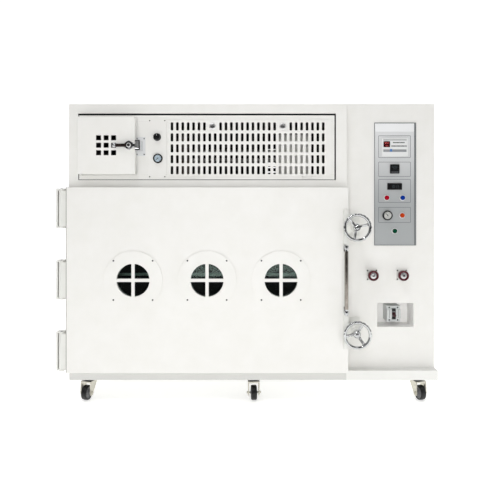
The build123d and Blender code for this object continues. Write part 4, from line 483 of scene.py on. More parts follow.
# Satin chrome: pale and soft, with only broad highlights.
SATIN_STEEL = plated("satin_chrome_plate", "#ECECEC", 0.30, 6.0, 0.01)
# Blackened steel: dark brown, with hard highlights.
DARK_CHROME = plated("blackened_steel_lever", "#2E2825", 0.24, 6.0, 0.02)
# Black zinc on small screws: dark, with a dull shine.  On the caster plates it is painted shade.
DARK_ZINC_AND_SHADE = plated("black_zinc_screws_and_caster_shade", "#4A4B4E", 0.36, 3.0, 0.01)
print("metals:", CHROME.name, STAINLESS_SHEET.name, ZINC.name)

# %% [markdown]
# Plastics and rubber
#
# Moulded plastic takes the finish of its mould: ABS cases a fine spark texture, acrylic
# button caps a polish.  One function with the texture's size and depth covers them all,
# from ink, which has none, to mineral wool.

# %% Plastics and rubber
SPARK = 1.2  # mm, texture of moulded cases; about 0.2 mm on the real ones


def moulded(name, code, roughness, grain_mm=SPARK, depth_mm=0.02, ior=1.5):
    """Moulded plastic or rubber with the fine texture of its mould."""
    material, tree, shader = start_material(name, code, roughness, ior=ior)
    texture = grain(tree, grain_mm, 2.0)
    tree.links.new(
        spread(tree, texture.outputs["Fac"], roughness - 0.05, roughness + 0.06),
        shader.inputs["Roughness"],
    )
    emboss(tree, shader, texture.outputs["Fac"], depth_mm)
    return material


# Cases from spark-eroded moulds: half matt, with a fine even texture.
BLACK_ABS = moulded("black_abs", "#08080A", 0.30)
GREY_ABS = moulded("light_grey_abs", "#DCDDDD", 0.42)
TRIM_GREY = moulded("grey_abs_lip", "#77797C", 0.4)
BREAKER_PLASTIC = moulded("polycarbonate_case", "#C9CCCB", 0.45)
TOGGLE_PLASTIC = moulded("dark_red_polycarbonate", "#3A1018", 0.35)
NYLON = moulded("black_nylon", "#121214", 0.48)
HUB_NYLON = moulded("grey_nylon_hub", "#6E6E70", 0.5)
# Phenolic pressed in a polished mould: dark, deep and glossy.
PHENOLIC = moulded("black_phenolic", "#0F0F11", 0.24, depth_mm=0.005)
VALVE_PHENOLIC = moulded("wine_red_phenolic", "#4A0416", 0.20, depth_mm=0.005)
# Acrylic from a polished mould: clean colour under a hard clear shine.
RED_ACRYLIC = moulded("red_acrylic", "#9A0820", 0.12, depth_mm=0.002, ior=1.49)
BLUE_ACRYLIC = moulded("blue_acrylic", "#06308A", 0.12, depth_mm=0.002, ior=1.49)
GREEN_ACRYLIC = moulded("green_acrylic", "#03402A", 0.12, depth_mm=0.002, ior=1.49)
AMBER_ACRYLIC = moulded("orange_acrylic", "#B03A12", 0.12, depth_mm=0.002, ior=1.49)
RED_WINDOW = moulded("dark_red_display_window", "#3A0A10", 0.12, depth_mm=0.001)
# Cast polyurethane tyre: black, with a dusty half shine.
TYRE = moulded("black_polyurethane_tyre", "#050506", 0.36, grain_mm=2.5, depth_mm=0.06)
# Rubbers: silicone is smooth and soft to the eye, the extruded strips and keys are matt.
# The grey strips along the doors' hinge sides are painted shadow.
SILICONE = moulded("red_silicone_rubber", "#A8412C", 0.5, ior=1.42)
# The panel's grey rubber edge, drawn wider on the right as painted shade.
EDGE_RUBBER_SHADE = moulded("grey_rubber_edge_and_shade", "#6C6F71", 0.6)
SHADOW_STRIP_GREY = moulded("grey_painted_shadow_strip", "#8F8E8A", 0.6)
GREY_KEY = moulded("grey_rubber_key", "#55585C", 0.55)
# Ink and printed film: flat and even, with no texture to see.
PRINT_INK = moulded("screen_printed_ink", "#66696C", 0.5, depth_mm=0.001)
DARK_INK = moulded("black_dial_ink", "#1B1D20", 0.5, depth_mm=0.001)
HEADER_FILM = moulded("white_printed_film", "#E4E5E6", 0.35, depth_mm=0.001)
STRIP_GREY = moulded("grey_printed_film", "#8C8F92", 0.4, depth_mm=0.001)
BLUE_KEY = moulded("blue_membrane_key", "#3F73B5", 0.4, depth_mm=0.001)
PALE_DIAL = moulded("pale_printed_dial", "#D2E4F0", 0.45, depth_mm=0.001)
GREY_DIAL = moulded("grey_printed_dial", "#F0F0EC", 0.45, depth_mm=0.001)
# Paint on a sand casting: the sand's lumps show through it.
PUMP_PAINT = moulded("painted_cast_aluminium", "#D3D3CE", 0.45, grain_mm=3.0, depth_mm=0.12)
# Mineral wool is rough and tufted, a heater mat woven and dull.
WOOL = moulded("mineral_wool", "#6E6250", 0.95, grain_mm=6.0, depth_mm=2.0)
HEATER_MAT = moulded("silicone_heater_mat", "#8E4A2B", 0.7, grain_mm=3.0, depth_mm=0.3)
print("moulded materials ready, last:", HEATER_MAT.name)

# %% [markdown]
# Glass, printed film and displays
#
# The sight glasses are thick borosilicate, which is clear but greenish through its
# thickness.  The panel's film is one grey, lighter at the top and darker towards the bottom.
# The strike is one piece with two finishes, so its material asks where on the piece it is.

# %% Glass, film and displays
DUST = 14.0  # mm across the blotches of dust on glass
STRIKE_CHEEKS = ((-600, -500, 1200), (-500, -411, 1400))  # mm, the chromed part of the strike


def glass(name, code, roughness):
    """Clear glass; its tint is the colour of what it lets through."""
    material, tree, shader = start_material(name, code, roughness, ior=1.47)
    shader.inputs["Transmission Weight"].default_value = 1.0
    dust = grain(tree, DUST, 4.0)
    tree.links.new(
        spread(tree, dust.outputs["Fac"], roughness, roughness + 0.03),
        shader.inputs["Roughness"],
    )
    return material


def part_plated(name, code, box):
    """Painted steel that is chromed within a box between two corners, in mm."""
    material, tree, shader = start_material(name, code, 0.4, ior=1.5)
    bare = inside(tree, *box)
    tree.links.new(bare, shader.inputs["Metallic"])
    tree.links.new(spread(tree, bare, 0.4, 0.08), shader.inputs["Roughness"])
    return material


def lit(name, code, power):
    """Light-emitting segments of a display."""
    material, tree, shader = start_material(name, code, 0.4)
    shader.inputs["Emission Color"].default_value = colour(code)
    shader.inputs["Emission Strength"].default_value = power
    return material


def panel_film(name, top_code, low_code, top_z, low_z):
    """Grey film, lighter at top_z and darker down to low_z, in mm."""
    material, tree, shader = start_material(name, low_code, 0.36, ior=1.5)
    place = add_node(tree, "ShaderNodeTexCoord")
    axes = add_node(tree, "ShaderNodeSeparateXYZ", {"Vector": place.outputs["Object"]})
    ends = {"Value": axes.outputs["Z"], "From Min": low_z * MM, "From Max": top_z * MM}
    share = add_node(tree, "ShaderNodeMapRange", ends, interpolation_type="SMOOTHSTEP")
    tones = {"Factor": share.outputs["Result"], "A": colour(low_code), "B": colour(top_code)}
    blend = add_node(tree, "ShaderNodeMix", tones, data_type="RGBA")
    tree.links.new(blend.outputs["Result"], shader.inputs["Base Color"])
    fine = grain(tree, SPARK, 2.0)
    emboss(tree, shader, fine.outputs["Fac"], 0.01)
    return material


# Painted steel foot with chromed cheeks: pale and matt below, bright above.
STRIKE_METAL = part_plated("painted_foot_chromed_cheeks", "#D6D7D8", STRIKE_CHEEKS)
# Film with a soft shine; its grey is lighter at the top and darker towards the bottom.
PANEL_FILM = panel_film("grey_panel_film", "#D2D3D4", "#9FA2A3", 1400.0, 960.0)
# Borosilicate, ground and polished: clear, faintly green.
SIGHT_GLASS = glass("borosilicate_sight_glass", "#A9BDB4", 0.01)
# Thin float glass over a dial: clear, with one clean reflection.
COVER_GLASS = glass("gauge_cover_glass", "#FFFFFF", 0.0)
# Display segments: red ones glow softly, grey ones hardly at all.
RED_GLOW = lit("red_led_segments", "#D85A58", 0.5)
DIM_GLOW = lit("dim_lcd_segments", "#4A5458", 0.1)
print("materials:", len(bpy.data.materials))

# %% [markdown]
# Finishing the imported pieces
#
# A sharp edge on a model looks cut from paper, because every real edge is a little round and
# catches a line of light.  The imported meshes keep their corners, and modifiers laid over them
# do the rounding: weld the corners together, bevel the sharp ones, and let the large faces
# keep their flat shading.

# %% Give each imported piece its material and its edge
EDGE_ANGLE = math.radians(28)
EDGE_SEGMENTS = 2
WELD_MM = 0.002


def dress(node_name, material, edge_mm):
    """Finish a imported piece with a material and, where its edges show, a rounded edge."""
    node = frame["nodes"][node_name]
    for slot in node.material_slots:
        slot.material = material
    if edge_mm:
        weld = node.modifiers.new("weld", "WELD")
        weld.merge_threshold = WELD_MM * MM
        bevel = node.modifiers.new("edge", "BEVEL")
        bevel.width = edge_mm * MM
        bevel.segments = EDGE_SEGMENTS
        bevel.limit_method = "ANGLE"
        bevel.angle_limit = EDGE_ANGLE
        bevel.use_clamp_overlap = True


FINISHES = [  # material, rounding of its edges in mm, pieces
    (BASE_PAINT, 1.6, "base_frame"),
    (CABINET_PAINT, 1.6, "left_casing control_casing"),
    (CABINET_PAINT, 0.8, "front_frame"),
    (FRONT_PAINT, 0.0, "control_front_panel"),
    (CABINET_PAINT, 0.0, "rear_panel"),
    (DOOR_PAINT, 0.0, "door_shell"),
    (DOOR_PAINT, 0.6, "compartment_panel service_door gauge_plate"),
    (DOOR_PAINT, 0.0, "grille_panel"),
    (DOOR_PAINT, 0.8, "viewport_flanges"),
    (FITTING_PAINT, 1.5, "door_hinge_leaves cabinet_hinge_leaves clamp_lugs clamp_receivers"),
    (CHAMBER_STEEL, 0.8, "vacuum_chamber"),
    (SHELF_STEEL, 0.8, "shelves"),
    (STAINLESS_SHEET, 0.8, "door_inner_plate"),
    (CHROME, 0.5, "hinge_pins"),
    (STRIKE_METAL, 0.5, "latch_strike"),
    (SATIN_STEEL, 1.2, "cam_lock_left cam_lock_right"),
    (CHROME, 0.5, "handwheel_upper handwheel_lower door_handle latch_lever"),
    (SILICONE, 0.0, "chamber_gasket"),
    (WOOL, 0.0, "insulation"),
    (HEATER_MAT, 0.0, "wall_heaters"),
    (SIGHT_GLASS, 0.5, "viewport_glasses"),
    # The caster plates are painted dark as the shadow line over the casters.
    (DARK_ZINC_AND_SHADE, 0.8, "caster_plates"),
    (ZINC, 0.8, "rear_caster_forks"),
    (ZINC, 0.8, "caster_fork_left caster_fork_middle caster_fork_right"),
    (TYRE, 0.0, "caster_wheel_front_left caster_wheel_front_middle caster_wheel_front_right"),
    (TYRE, 0.0, "caster_wheel_rear_left caster_wheel_rear_middle caster_wheel_rear_right"),
    (PHENOLIC, 0.5, "regulator_knob"),
    (DARK_INK, 0.0, "compartment_gauge_needle vacuum_gauge_needle"),
    (BLACK_ABS, 0.6, "gauge_bodies panel_instruments"),
    (RED_ACRYLIC, 0.8, "red_button"),
    (BLUE_ACRYLIC, 0.8, "blue_button"),
    (GREEN_ACRYLIC, 0.8, "green_button"),
    (VALVE_PHENOLIC, 0.8, "valve_knob_left valve_knob_right"),
    (FITTING_PAINT, 0.5, "valve_bodies"),
    (BREAKER_PLASTIC, 0.6, "breaker"),
    (TOGGLE_PLASTIC, 0.6, "breaker_toggle"),
    (NYLON, 0.5, "cable_gland"),
    (PUMP_PAINT, 1.5, "vacuum_pump"),
    (STAINLESS_TUBE, 1.0, "cold_trap"),
    (PIPE_STEEL, 0.0, "vacuum_pipes"),
    (PANEL_FILM, 0.0, "control_panel"),
]
for finish, edge_mm, names in FINISHES:
    for node_name in names.split():
        dress(node_name, finish, edge_mm)
print("finished packed pieces:", sum(len(names.split()) for _, _, names in FINISHES))

# %% [markdown]
# Turned, moulded and cut shapes
#
# Three ways of making cover almost every small part of a machine.  A turned part is a
# profile swept round an axis.  A moulded or cast part changes its outline from level to
# level.  Both are a stack of outlines, and a loft lays skin from each to the next.  Sheet
# parts are flat outlines with holes, which a flat Blender curve fills and thickens by
# itself.  Sizes are in millimetres, and a part is built lying on its back, then stood up
# facing the front of the machine.

# %% Places and outlines
FRONT = Matrix(((1, 0, 0), (0, 0, -1), (0, 1, 0)))  # x, y and height become X, Z and -Y
UPRIGHT = Matrix.Identity(3)
LEFTWARD = Matrix(((0, 0, -1), (0, 1, 0), (1, 0, 0)))  # height becomes -X


def span(node_name):
    """Lowest corner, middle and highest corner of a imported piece, in millimetres."""
    low, high = (Vector(corner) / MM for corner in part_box(node_name))
    return low, (low + high) / 2, high


def stand_at(place, turn=FRONT):
    """Matrix that turns a part built lying down and carries it to its place."""
    return Matrix.Translation(Vector(place)) @ turn.to_4x4()


def four(middles, across, up):
    """The four corners round each middle, for screws."""
    return [
        (x + side * across, y, z + rise * up)
        for x, y, z in middles
        for side in (-1, 1)
        for rise in (-1, 1)
    ]


def ring(radius, height, count=48, wave=None):
    """Points round an axis; wave(angle) scales the radius where the outline isn't round."""
    points = []
    for i in range(count):
        angle = 2 * math.pi * i / count
        reach = radius * (wave(angle) if wave else 1.0)
        points.append((reach * math.cos(angle), reach * math.sin(angle), height))
    return points


def slab_ring(width, length, corner, height, steps=4, middle=(0, 0)):
    """Points round a rectangle with rounded corners."""
    points = []
    for quarter, (side_x, side_y) in enumerate(((1, 1), (-1, 1), (-1, -1), (1, -1))):
        for i in range(steps + 1):
            angle = (quarter + i / steps) * math.pi / 2
            x = middle[0] + side_x * (width / 2 - corner) + corner * math.cos(angle)
            y = middle[1] + side_y * (length / 2 - corner) + corner * math.sin(angle)
            points.append((x, y, height))
    return points


def slabs(*sizes, middle=(0, 0)):
    """Stack of rounded rectangles, each a width, length, corner and height."""
    return [slab_ring(*size, middle=middle) for size in sizes]


def hexagon(angle):
    """Wave that makes a ring six-sided; the radius is to its corners."""
    return math.cos(math.pi / 6) / math.cos(math.remainder(angle, math.pi / 3))


def cross(angle):
    """Wave that makes a ring the cross recess of a screw."""
    return 1.0 if abs(math.remainder(angle, math.pi / 2)) < 0.3 else 0.42


print("points round a screw's cross:", len(ring(1, 0, 24, cross)))

# %% [markdown]
# Skin
#
# An outline becomes a part when skin joins it to the next.  Blender's bmesh takes points and
# faces one by one and is the shortest way to write that.  Each new mesh is smoothed, kept
# sharp at its real edges, and hung on the body that it moves with.

# %% Lofts, turned parts and blocks
BLOCK_FACES = ((3, 2, 1, 0), (4, 5, 6, 7), (0, 1, 5, 4), (1, 2, 6, 5), (2, 3, 7, 6), (3, 0, 4, 7))


def add_piece(name, shape, material, body, smooth=30):
    """Make a piece of a mesh built in millimetres, and let it ride on a body."""
    bmesh.ops.recalc_face_normals(shape, faces=shape.faces)
    shape.transform(Matrix.Scale(MM, 4))
    mesh = bpy.data.meshes.new(name)
    shape.to_mesh(mesh)
    shape.free()
    mesh.materials.append(material)
    mesh.shade_smooth()
    mesh.set_sharp_from_angle(angle=math.radians(smooth))
    piece = bpy.data.objects.new(name, mesh)
    bpy.context.scene.collection.objects.link(piece)
    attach(piece, body)
    return piece


def loft(name, rings, places, material, body, turn=FRONT, ends=True, smooth=30):
    """Lay skin over a stack of outlines, once at each place; without ends it closes on itself."""
    shape = bmesh.new()
    for place in places:
        stand = stand_at(place, turn)
        loops = [[shape.verts.new(stand @ Vector(point)) for point in points] for points in rings]
        pairs = list(zip(loops, loops[1:]))
        if ends:
            shape.faces.new(loops[0][::-1])
            shape.faces.new(loops[-1])
        else:
            pairs.append((loops[-1], loops[0]))
        for lower, upper in pairs:
            for i in range(len(lower)):
                j = (i + 1) % len(lower)
                shape.faces.new((lower[i], lower[j], upper[j], upper[i]))
    return add_piece(name, shape, material, body, smooth)


def turned(name, profile, places, material, body, turn=FRONT, ends=True, count=48, wave=None):
    """Turn (radius, height) pairs on an axis, once at each place."""
    rings = [ring(radius, height, count, wave) for radius, height in profile]
    return loft(name, rings, places, material, body, turn, ends)


def add_block(shape, stand, base, bottom, top):
    """Add a block on a four-cornered base, from one height to another."""
    points = [
        shape.verts.new(stand @ Vector((x, y, level))) for level in (bottom, top) for x, y in base
    ]
    for face in BLOCK_FACES:
        shape.faces.new([points[i] for i in face])


print("faces of a block:", len(BLOCK_FACES))

# %% [markdown]
# Sheets, figures and screws
#
# Blender fills a closed flat curve, leaves its holes open and rounds its edge, which is just
# what a punched sheet needs.  A text curve is filled the same way and gives the figures of a
# dial.  A screw's head is one more loft, with its cross pressed into it.

# %% Sheets, figures and screws
def flatten(name, curve, place, material, body, turn):
    """Turn a filled curve into a piece at a place."""
    holder = bpy.data.objects.new(name, curve)
    mesh = bpy.data.meshes.new_from_object(holder)
    bpy.data.objects.remove(holder)
    bpy.data.curves.remove(curve)
    shape = bmesh.new()
    shape.from_mesh(mesh)
    bpy.data.meshes.remove(mesh)
    bmesh.ops.remove_doubles(shape, verts=shape.verts, dist=0.001)
    shape.transform(stand_at(place, turn))
    return add_piece(name, shape, material, body, 25)


def cut_sheet(name, outlines, thickness, place, material, body, turn=FRONT, edge=0.15):
    """Flat sheet whose first outline is its edge and the others its holes, in x and y."""
    curve = bpy.data.curves.new(name, "CURVE")
    curve.dimensions = "2D"
    curve.fill_mode = "BOTH"
    curve.extrude = thickness / 2 - edge
    curve.bevel_depth = edge
    curve.bevel_resolution = 1
    curve.offset = -edge
    for outline in outlines:
        spline = curve.splines.new("POLY")
        spline.points.add(len(outline) - 1)
        for point, (x, y, _) in zip(spline.points, outline):
            point.co = (x, y, 0, 1)
        spline.use_cyclic_u = True
    centre = Vector(place) + turn @ Vector((0, 0, thickness / 2))
    return flatten(name, curve, centre, material, body, turn)


def figures(name, text, size, place, material, body, turn=FRONT):
    """Figures of a dial, size high, standing a tenth of a millimetre proud."""
    curve = bpy.data.curves.new(name, "FONT")
    curve.body = text
    curve.size = size
    curve.align_x = "CENTER"
    curve.align_y = "CENTER"
    curve.extrude = 0.1
    return flatten(name, curve, place, material, body, turn)


def screws(name, radius, places, material, body, turn=FRONT, rise=0.45):
    """Round-headed screws with a cross recess; rise is the head's height to its radius."""
    high = radius * rise
    dome = ((1.0, 0, None), (0.96, 0.4, None), (0.78, 0.85, None), (0.62, 1.0, None))
    recess = ((0.56, 1.0, cross), (0.46, 0.3, cross))
    rings = [ring(radius * wide, high * up, 24, wave) for wide, up, wave in dome + recess]
    return loft(name, rings, places, material, body, turn, smooth=40)


print("sheets, figures and screws ready")

# %% [markdown]
# Handwheels
#
# Each clamp is drawn home by a cast handwheel, chromed after it was polished.  The rim is a
# round bar with shallow finger hollows round its outside, three spokes with a rib along
# their middle rise to it from the hub, and an acorn nut holds the wheel on its screw.  The
# rim and the spokes are lofts, because their sections change along the way.

# %% Cast the handwheels
RIM_R = 62.0  # mm, to the middle of the rim's bar
RIM_HALF = 8.0
GRIPS = 18  # finger hollows round the rim
GRIP_DEPTH = 0.030  # share of the radius
HUB_FACE = 12.0  # behind the rim's front
HUB_R = 18.0
HUB_LENGTH = 28.0
SPOKE_STEPS = 8
SPOKE_SECTION = (  # across and up, in halves of its width and thickness
    (-1, -1), (1, -1), (1, 0), (0.6, 0.25), (0.35, 1), (-0.35, 1), (-0.6, 0.25), (-1, 0)
)
RIM_STEPS = 20  # round the bar
RIM_POINTS = 216  # along the rim, twelve to a finger hollow
THREAD_PITCH = 3.0


def wheel_rim(front):
    """Outlines round the rim's bar, hollowed where fingers grip."""
    rings = []
    for i in range(RIM_STEPS):
        swing = 2 * math.pi * i / RIM_STEPS
        depth = GRIP_DEPTH * max(0.0, math.cos(swing)) ** 0.5

        def hollow(angle, depth=depth):
            return 1.0 - depth * (0.5 - 0.5 * math.cos(GRIPS * angle)) ** 3

        radius = RIM_R + RIM_HALF * math.cos(swing)
        height = front - RIM_HALF + RIM_HALF * math.sin(swing)
        rings.append(ring(radius, height, RIM_POINTS, hollow))
    return rings


def spoke(front, heading):
    """Outlines along one spoke, from inside the hub up to the rim's bar."""
    rings = []
    for i in range(SPOKE_STEPS + 1):
        share = i / SPOKE_STEPS
        out = HUB_R - 6 + (RIM_R - HUB_R + 4) * share
        rise = front - RIM_HALF - 20 * (0.5 + 0.5 * math.cos(math.pi * share))
        half_width = 6.2 + 3.4 * (2 * share - 1) ** 2
        half_thick = 4.2 + 0.8 * (2 * share - 1) ** 2
        section = []
        for across, up in SPOKE_SECTION:
            y = across * half_width
            turned_x = out * math.cos(heading) - y * math.sin(heading)
            turned_y = out * math.sin(heading) + y * math.cos(heading)
            section.append((turned_x, turned_y, rise + up * half_thick))
        rings.append(section)
    return rings


for node_name, first_spoke in (("handwheel_upper", 15), ("handwheel_lower", 65)):
    low, middle, high = span(node_name)
    axis = [(middle.x, 0, middle.z)]
    front = -low.y
    nose = -high.y
    rim = loft(f"{node_name}_rim", wheel_rim(front), axis, CAST_CHROME, node_name, ends=False)
    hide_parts(node_name)
    for k in range(3):
        heading = math.radians(first_spoke + 120 * k)
        loft(f"{node_name}_spoke_{k + 1}", spoke(front, heading), axis, CAST_CHROME, node_name)
    face = front - HUB_FACE
    hub = [(14, face - HUB_LENGTH), (17, face - HUB_LENGTH + 1), (18, face - HUB_LENGTH + 4)]
    hub += [(18, face - 10), (17, face - 8), (17.2, face - 7), (15.5, face - 2), (13, face)]
    turned(f"{node_name}_hub", hub, axis, CAST_CHROME, node_name)
    nut = [(11, face - 0.5), (11, face + 3.5), (9.8, face + 4.2)]
    turned(f"{node_name}_nut", nut, axis, CHROME, node_name, wave=hexagon)
    dome = [(8.6, face + 4), (8.2, face + 6), (6.2, face + 7.3), (3.0, face + 8)]
    turned(f"{node_name}_acorn", dome, axis, CHROME, node_name)
    thread = [(5.5, nose), (7.4, nose + 2)]
    turns = int((face - HUB_LENGTH - nose - 4) / THREAD_PITCH)
    for k in range(turns):
        root = nose + 3 + k * THREAD_PITCH
        thread += [(7.0, root), (8.0, root + THREAD_PITCH / 2)]
    thread += [(7.0, face - HUB_LENGTH + 1)]
    turned(f"{node_name}_screw", thread, axis, ZINC, node_name, count=32)
print("handwheels: 2, rim radius", RIM_R)

# %% [markdown]
# The door handle
#
# A brushed stainless tube stands between two chromed posts.  A slim neck parts the tube from
# each collar, so a dark ring shows there, and each post ends in a long rounded foot.

# %% Build the door handle
COLLAR_R = 11.0
COLLAR_H = 20.0
NECK_R = 6.0
NECK_H = 8.0
TUBE_R = 9.5
FOOT = (16.0, 38.0, 6.0)  # mm, width, height and thickness

low, middle, high = span("door_handle")
bar_x, bar_y = middle.x, low.y + COLLAR_R
tube_low, tube_high = low.z + COLLAR_H + NECK_H, high.z - COLLAR_H - NECK_H
bar_axis = [(bar_x, bar_y, 0)]
tube = turned(
    "handle_tube",
    [(8.6, tube_low), (9.3, tube_low + 0.3), (TUBE_R, tube_low + 1.2)]
    + [(TUBE_R, tube_high - 1.2), (9.3, tube_high - 0.3), (8.6, tube_high)],
    bar_axis, STAINLESS_TUBE, "door", UPRIGHT,
)
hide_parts("door_handle")
for end, side, edge in (("lower", 1, low.z), ("upper", -1, high.z)):
    collar = [(9.6, 0), (10.7, 0.5), (COLLAR_R, 1.6), (COLLAR_R, 6.8), (10.3, 7.6), (10.3, 8.8)]
    collar += [(COLLAR_R, 9.6), (COLLAR_R, 18.4), (10.7, 19.5), (9.6, 20), (NECK_R, 20.1)]
    collar += [(NECK_R, COLLAR_H + NECK_H + 1)]
    stack = [(radius, edge + side * height) for radius, height in collar]
    turned(f"handle_collar_{end}", stack, bar_axis, CHROME, "door", UPRIGHT)
    post_z = edge + side * COLLAR_H / 2
    foot_z = edge + side * FOOT[1] / 2
    wall = -high.y
    post = [(8.5, wall + 5), (7.4, wall + 7), (7.0, wall + 10), (7.0, wall + 36)]
    turned(f"handle_post_{end}", post, [(bar_x, 0, post_z)], CHROME, "door")
    wide, tall, thick = FOOT
    foot = slabs(
        (wide, tall, 7.8, wall), (wide, tall, 7.8, wall + 4.6),
        (wide - 1, tall - 1, 7.3, wall + 5.6), (wide - 3, tall - 3, 6.3, wall + thick),
    )
    loft(f"handle_foot_{end}", foot, [(bar_x, 0, foot_z)], CHROME, "door", smooth=45)
print("handle tube", round(tube_high - tube_low), "mm long")

# %% [markdown]
# The service door's latch
#
# A hexagonal hub turns on a stud, with a dark lever to the left and a tongue that slides
# behind the strike on the right.  The hub is turned down at its corners as a nut is, and a
# small nut holds it.  A grey strip along the door's hinge side is painted shadow.

# %% Build the latch
LATCH_HUB_R = 24.0
LATCH_BORE = 10.05
LATCH_HUB_T = 16.0
LATCH_PIVOT = 82.0  # from the lever's tip
TONGUE = (17.0, 14.0)  # length and height
COVER_FACE = -410.0  # front of the plant compartment's cover
SHADOW_STRIP_SIZE = (3.0, 284.0)  # width and height

low, middle, high = span("latch_lever")
pivot = (low.x + LATCH_PIVOT, 0, middle.z)
hub_back = -high.y + 2.0
hub_front = hub_back + LATCH_HUB_T
hub_rings = [ring(23.0, hub_back, 48, hexagon), ring(LATCH_HUB_R, hub_back + 1, 48, hexagon)]
hub_rings += [ring(LATCH_HUB_R, hub_front - 3, 48, hexagon), ring(20.2, hub_front, 48)]
hub_rings += [ring(12.0, hub_front, 48), ring(LATCH_BORE, hub_front - 1, 48)]
hub_rings += [ring(LATCH_BORE, hub_back, 48)]
latch_hub = loft("latch_hub", hub_rings, [pivot], CHROME, "latch_lever", ends=False)
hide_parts("latch_lever")
lever_place = [(pivot[0], low.y + 10.0, pivot[2])]
stud_nut = [(9.2, hub_front - 1), (9.2, hub_front + 3.5), (8.0, hub_front + 4.2)]
turned("latch_nut", stud_nut, [pivot], CHROME, "service_door", wave=hexagon)
lever = [(9.6, 14), (9.8, 22), (8.8, 27), (8.2, 42), (8.4, 58), (9.0, 68.5)]
turned("latch_rod", lever, lever_place, DARK_CHROME, "latch_lever", LEFTWARD)
cap = [(9.4, 67), (10.6, 68), (11, 69.5), (11, 78), (10, 80.6), (7.5, 82)]
turned("latch_cap", cap, lever_place, CHROME, "latch_lever", LEFTWARD)
long, tall = TONGUE
tongue = slabs(
    (long, tall, 2, hub_back + 0.4), (long, tall, 2, hub_front - 4),
    (long - 1, tall - 2, 1.5, hub_front - 3), middle=(21.0, 0),
)
loft("latch_tongue", tongue, [pivot], CHROME, "latch_lever")

door_low = span("service_door")[0]
# Painted shadow: a grey strip along the service door's hinge side.
shadow_strip_outline = slabs((*SHADOW_STRIP_SIZE, 1.2, 0), (*SHADOW_STRIP_SIZE, 1.2, 0.4))
shadow_strip_place = (door_low.x - 4.5, COVER_FACE, middle.z)
loft("service_door_shadow_strip", shadow_strip_outline, [shadow_strip_place], SHADOW_STRIP_GREY, "cabinet")
low, middle, high = span("latch_strike")
strike_face = high.y - 3.0
foot_x, foot_z = (low.x + 5, high.x - 6), (low.z + 8, high.z - 8)
corners = [(x, strike_face, z) for x in foot_x for z in foot_z]
screws("strike_screws", 3.4, corners, DARK_ZINC_AND_SHADE, "cabinet")
print("latch pivot at", [round(c) for c in pivot])

# %% [markdown]
# Sight glass flanges and the door's edge shadow
#
# Each flange is held by four small screws on its diagonals.  The door's skin is folded round
# its frame on the hinge side, and a thin grey strip there is painted shadow of the joint.

# %% Screw down the flanges and lay the edge shadow
low, middle, high = span("viewport_flanges")
VIEW_R = (high.z - low.z) / 2
VIEW_X = [low.x + VIEW_R, middle.x, high.x - VIEW_R]
VIEW_SCREW = 98.0  # mm from the middle, along and up
view_screws = four([(x, low.y, middle.z) for x in VIEW_X], VIEW_SCREW, VIEW_SCREW)
door_low, door_middle, door_high = span("door_shell")
edge_shadow_outline = slabs((3.2, door_high.z - door_low.z - 2, 1.2, 0))
edge_shadow_place = (door_low.x + 1.8, door_low.y, door_middle.z)
cut_sheet("door_edge_shadow_strip", edge_shadow_outline, 0.3, edge_shadow_place, SHADOW_STRIP_GREY, "door", edge=0.05)
screws("flange_screws", 4.4, view_screws, DARK_ZINC_AND_SHADE, "door", rise=0.3)
print("flange screws:", len(view_screws))

# %% [markdown]
# The control panel
#
# The panel is a sheet of aluminium under a printed film.  Thin frames group its
# instruments, and a paler band crosses its top.  Print stands about a tenth of a millimetre
# proud, so each frame is a sheet of its own.

# %% Print the panel
PANEL_RING = 5.0  # the button rings stand this far off the panel
# The grey rubber edge round the panel is made wider on the right as painted shade of its side.
PANEL_EDGE_SHADE = (3.0, 10.0, 4.0, 3.0)  # mm of dark trim: left, right, top, bottom
HEADER = 43.0
INK = 0.12
FRAME_WIDTH = 168.0
FRAME_LINE = 2.2
FRAMES = ((1361.0, 1245.0), (1224.0, 1147.0), (1134.0, 1012.0), (989.0, 908.0))  # top and bottom

low, middle, high = span("control_panel")
PANEL_FACE = low.y + PANEL_RING
INSTRUMENT_X = span("panel_instruments")[1].x
width, height = high.x - low.x, high.z - low.z
inner_w, inner_h = width - PANEL_EDGE_SHADE[0] - PANEL_EDGE_SHADE[1], height - PANEL_EDGE_SHADE[2] - PANEL_EDGE_SHADE[3]
inner_middle = ((PANEL_EDGE_SHADE[0] - PANEL_EDGE_SHADE[1]) / 2, (PANEL_EDGE_SHADE[3] - PANEL_EDGE_SHADE[2]) / 2)
cut_sheet(
    "panel_rubber_edge_shade",
    [slab_ring(width, height, 1.5, 0), slab_ring(inner_w, inner_h, 1.0, 0, middle=inner_middle)],
    1.4, (middle.x, PANEL_FACE, middle.z), EDGE_RUBBER_SHADE, "cabinet",
)
header_z = high.z - PANEL_EDGE_SHADE[2] - HEADER / 2
cut_sheet(
    "panel_header", slabs((inner_w - 1, HEADER, 0.5, 0)), 0.3,
    (middle.x + inner_middle[0], PANEL_FACE, header_z), HEADER_FILM, "cabinet", edge=0.05,
)
for k, (top, bottom) in enumerate(FRAMES):
    tall = top - bottom
    hole = slab_ring(FRAME_WIDTH - 2 * FRAME_LINE, tall - 2 * FRAME_LINE, 3.0, 0)
    cut_sheet(
        f"panel_frame_{k + 1}", [slab_ring(FRAME_WIDTH, tall, 4.0, 0), hole], INK,
        (INSTRUMENT_X, PANEL_FACE, (top + bottom) / 2), PRINT_INK, "cabinet", edge=0.02,
    )
print("panel face at", round(PANEL_FACE, 1), "frames:", len(FRAMES))

# %% [markdown]
# Instruments
#
# The controllers and the meter are moulded cases pushed into cut-outs.  Each has a bezel
# with a rounded lip, a window sunk into it, and seven-bar figures behind the window.  Words
# beside the figures are too small to read from the front and are drawn as dark marks.

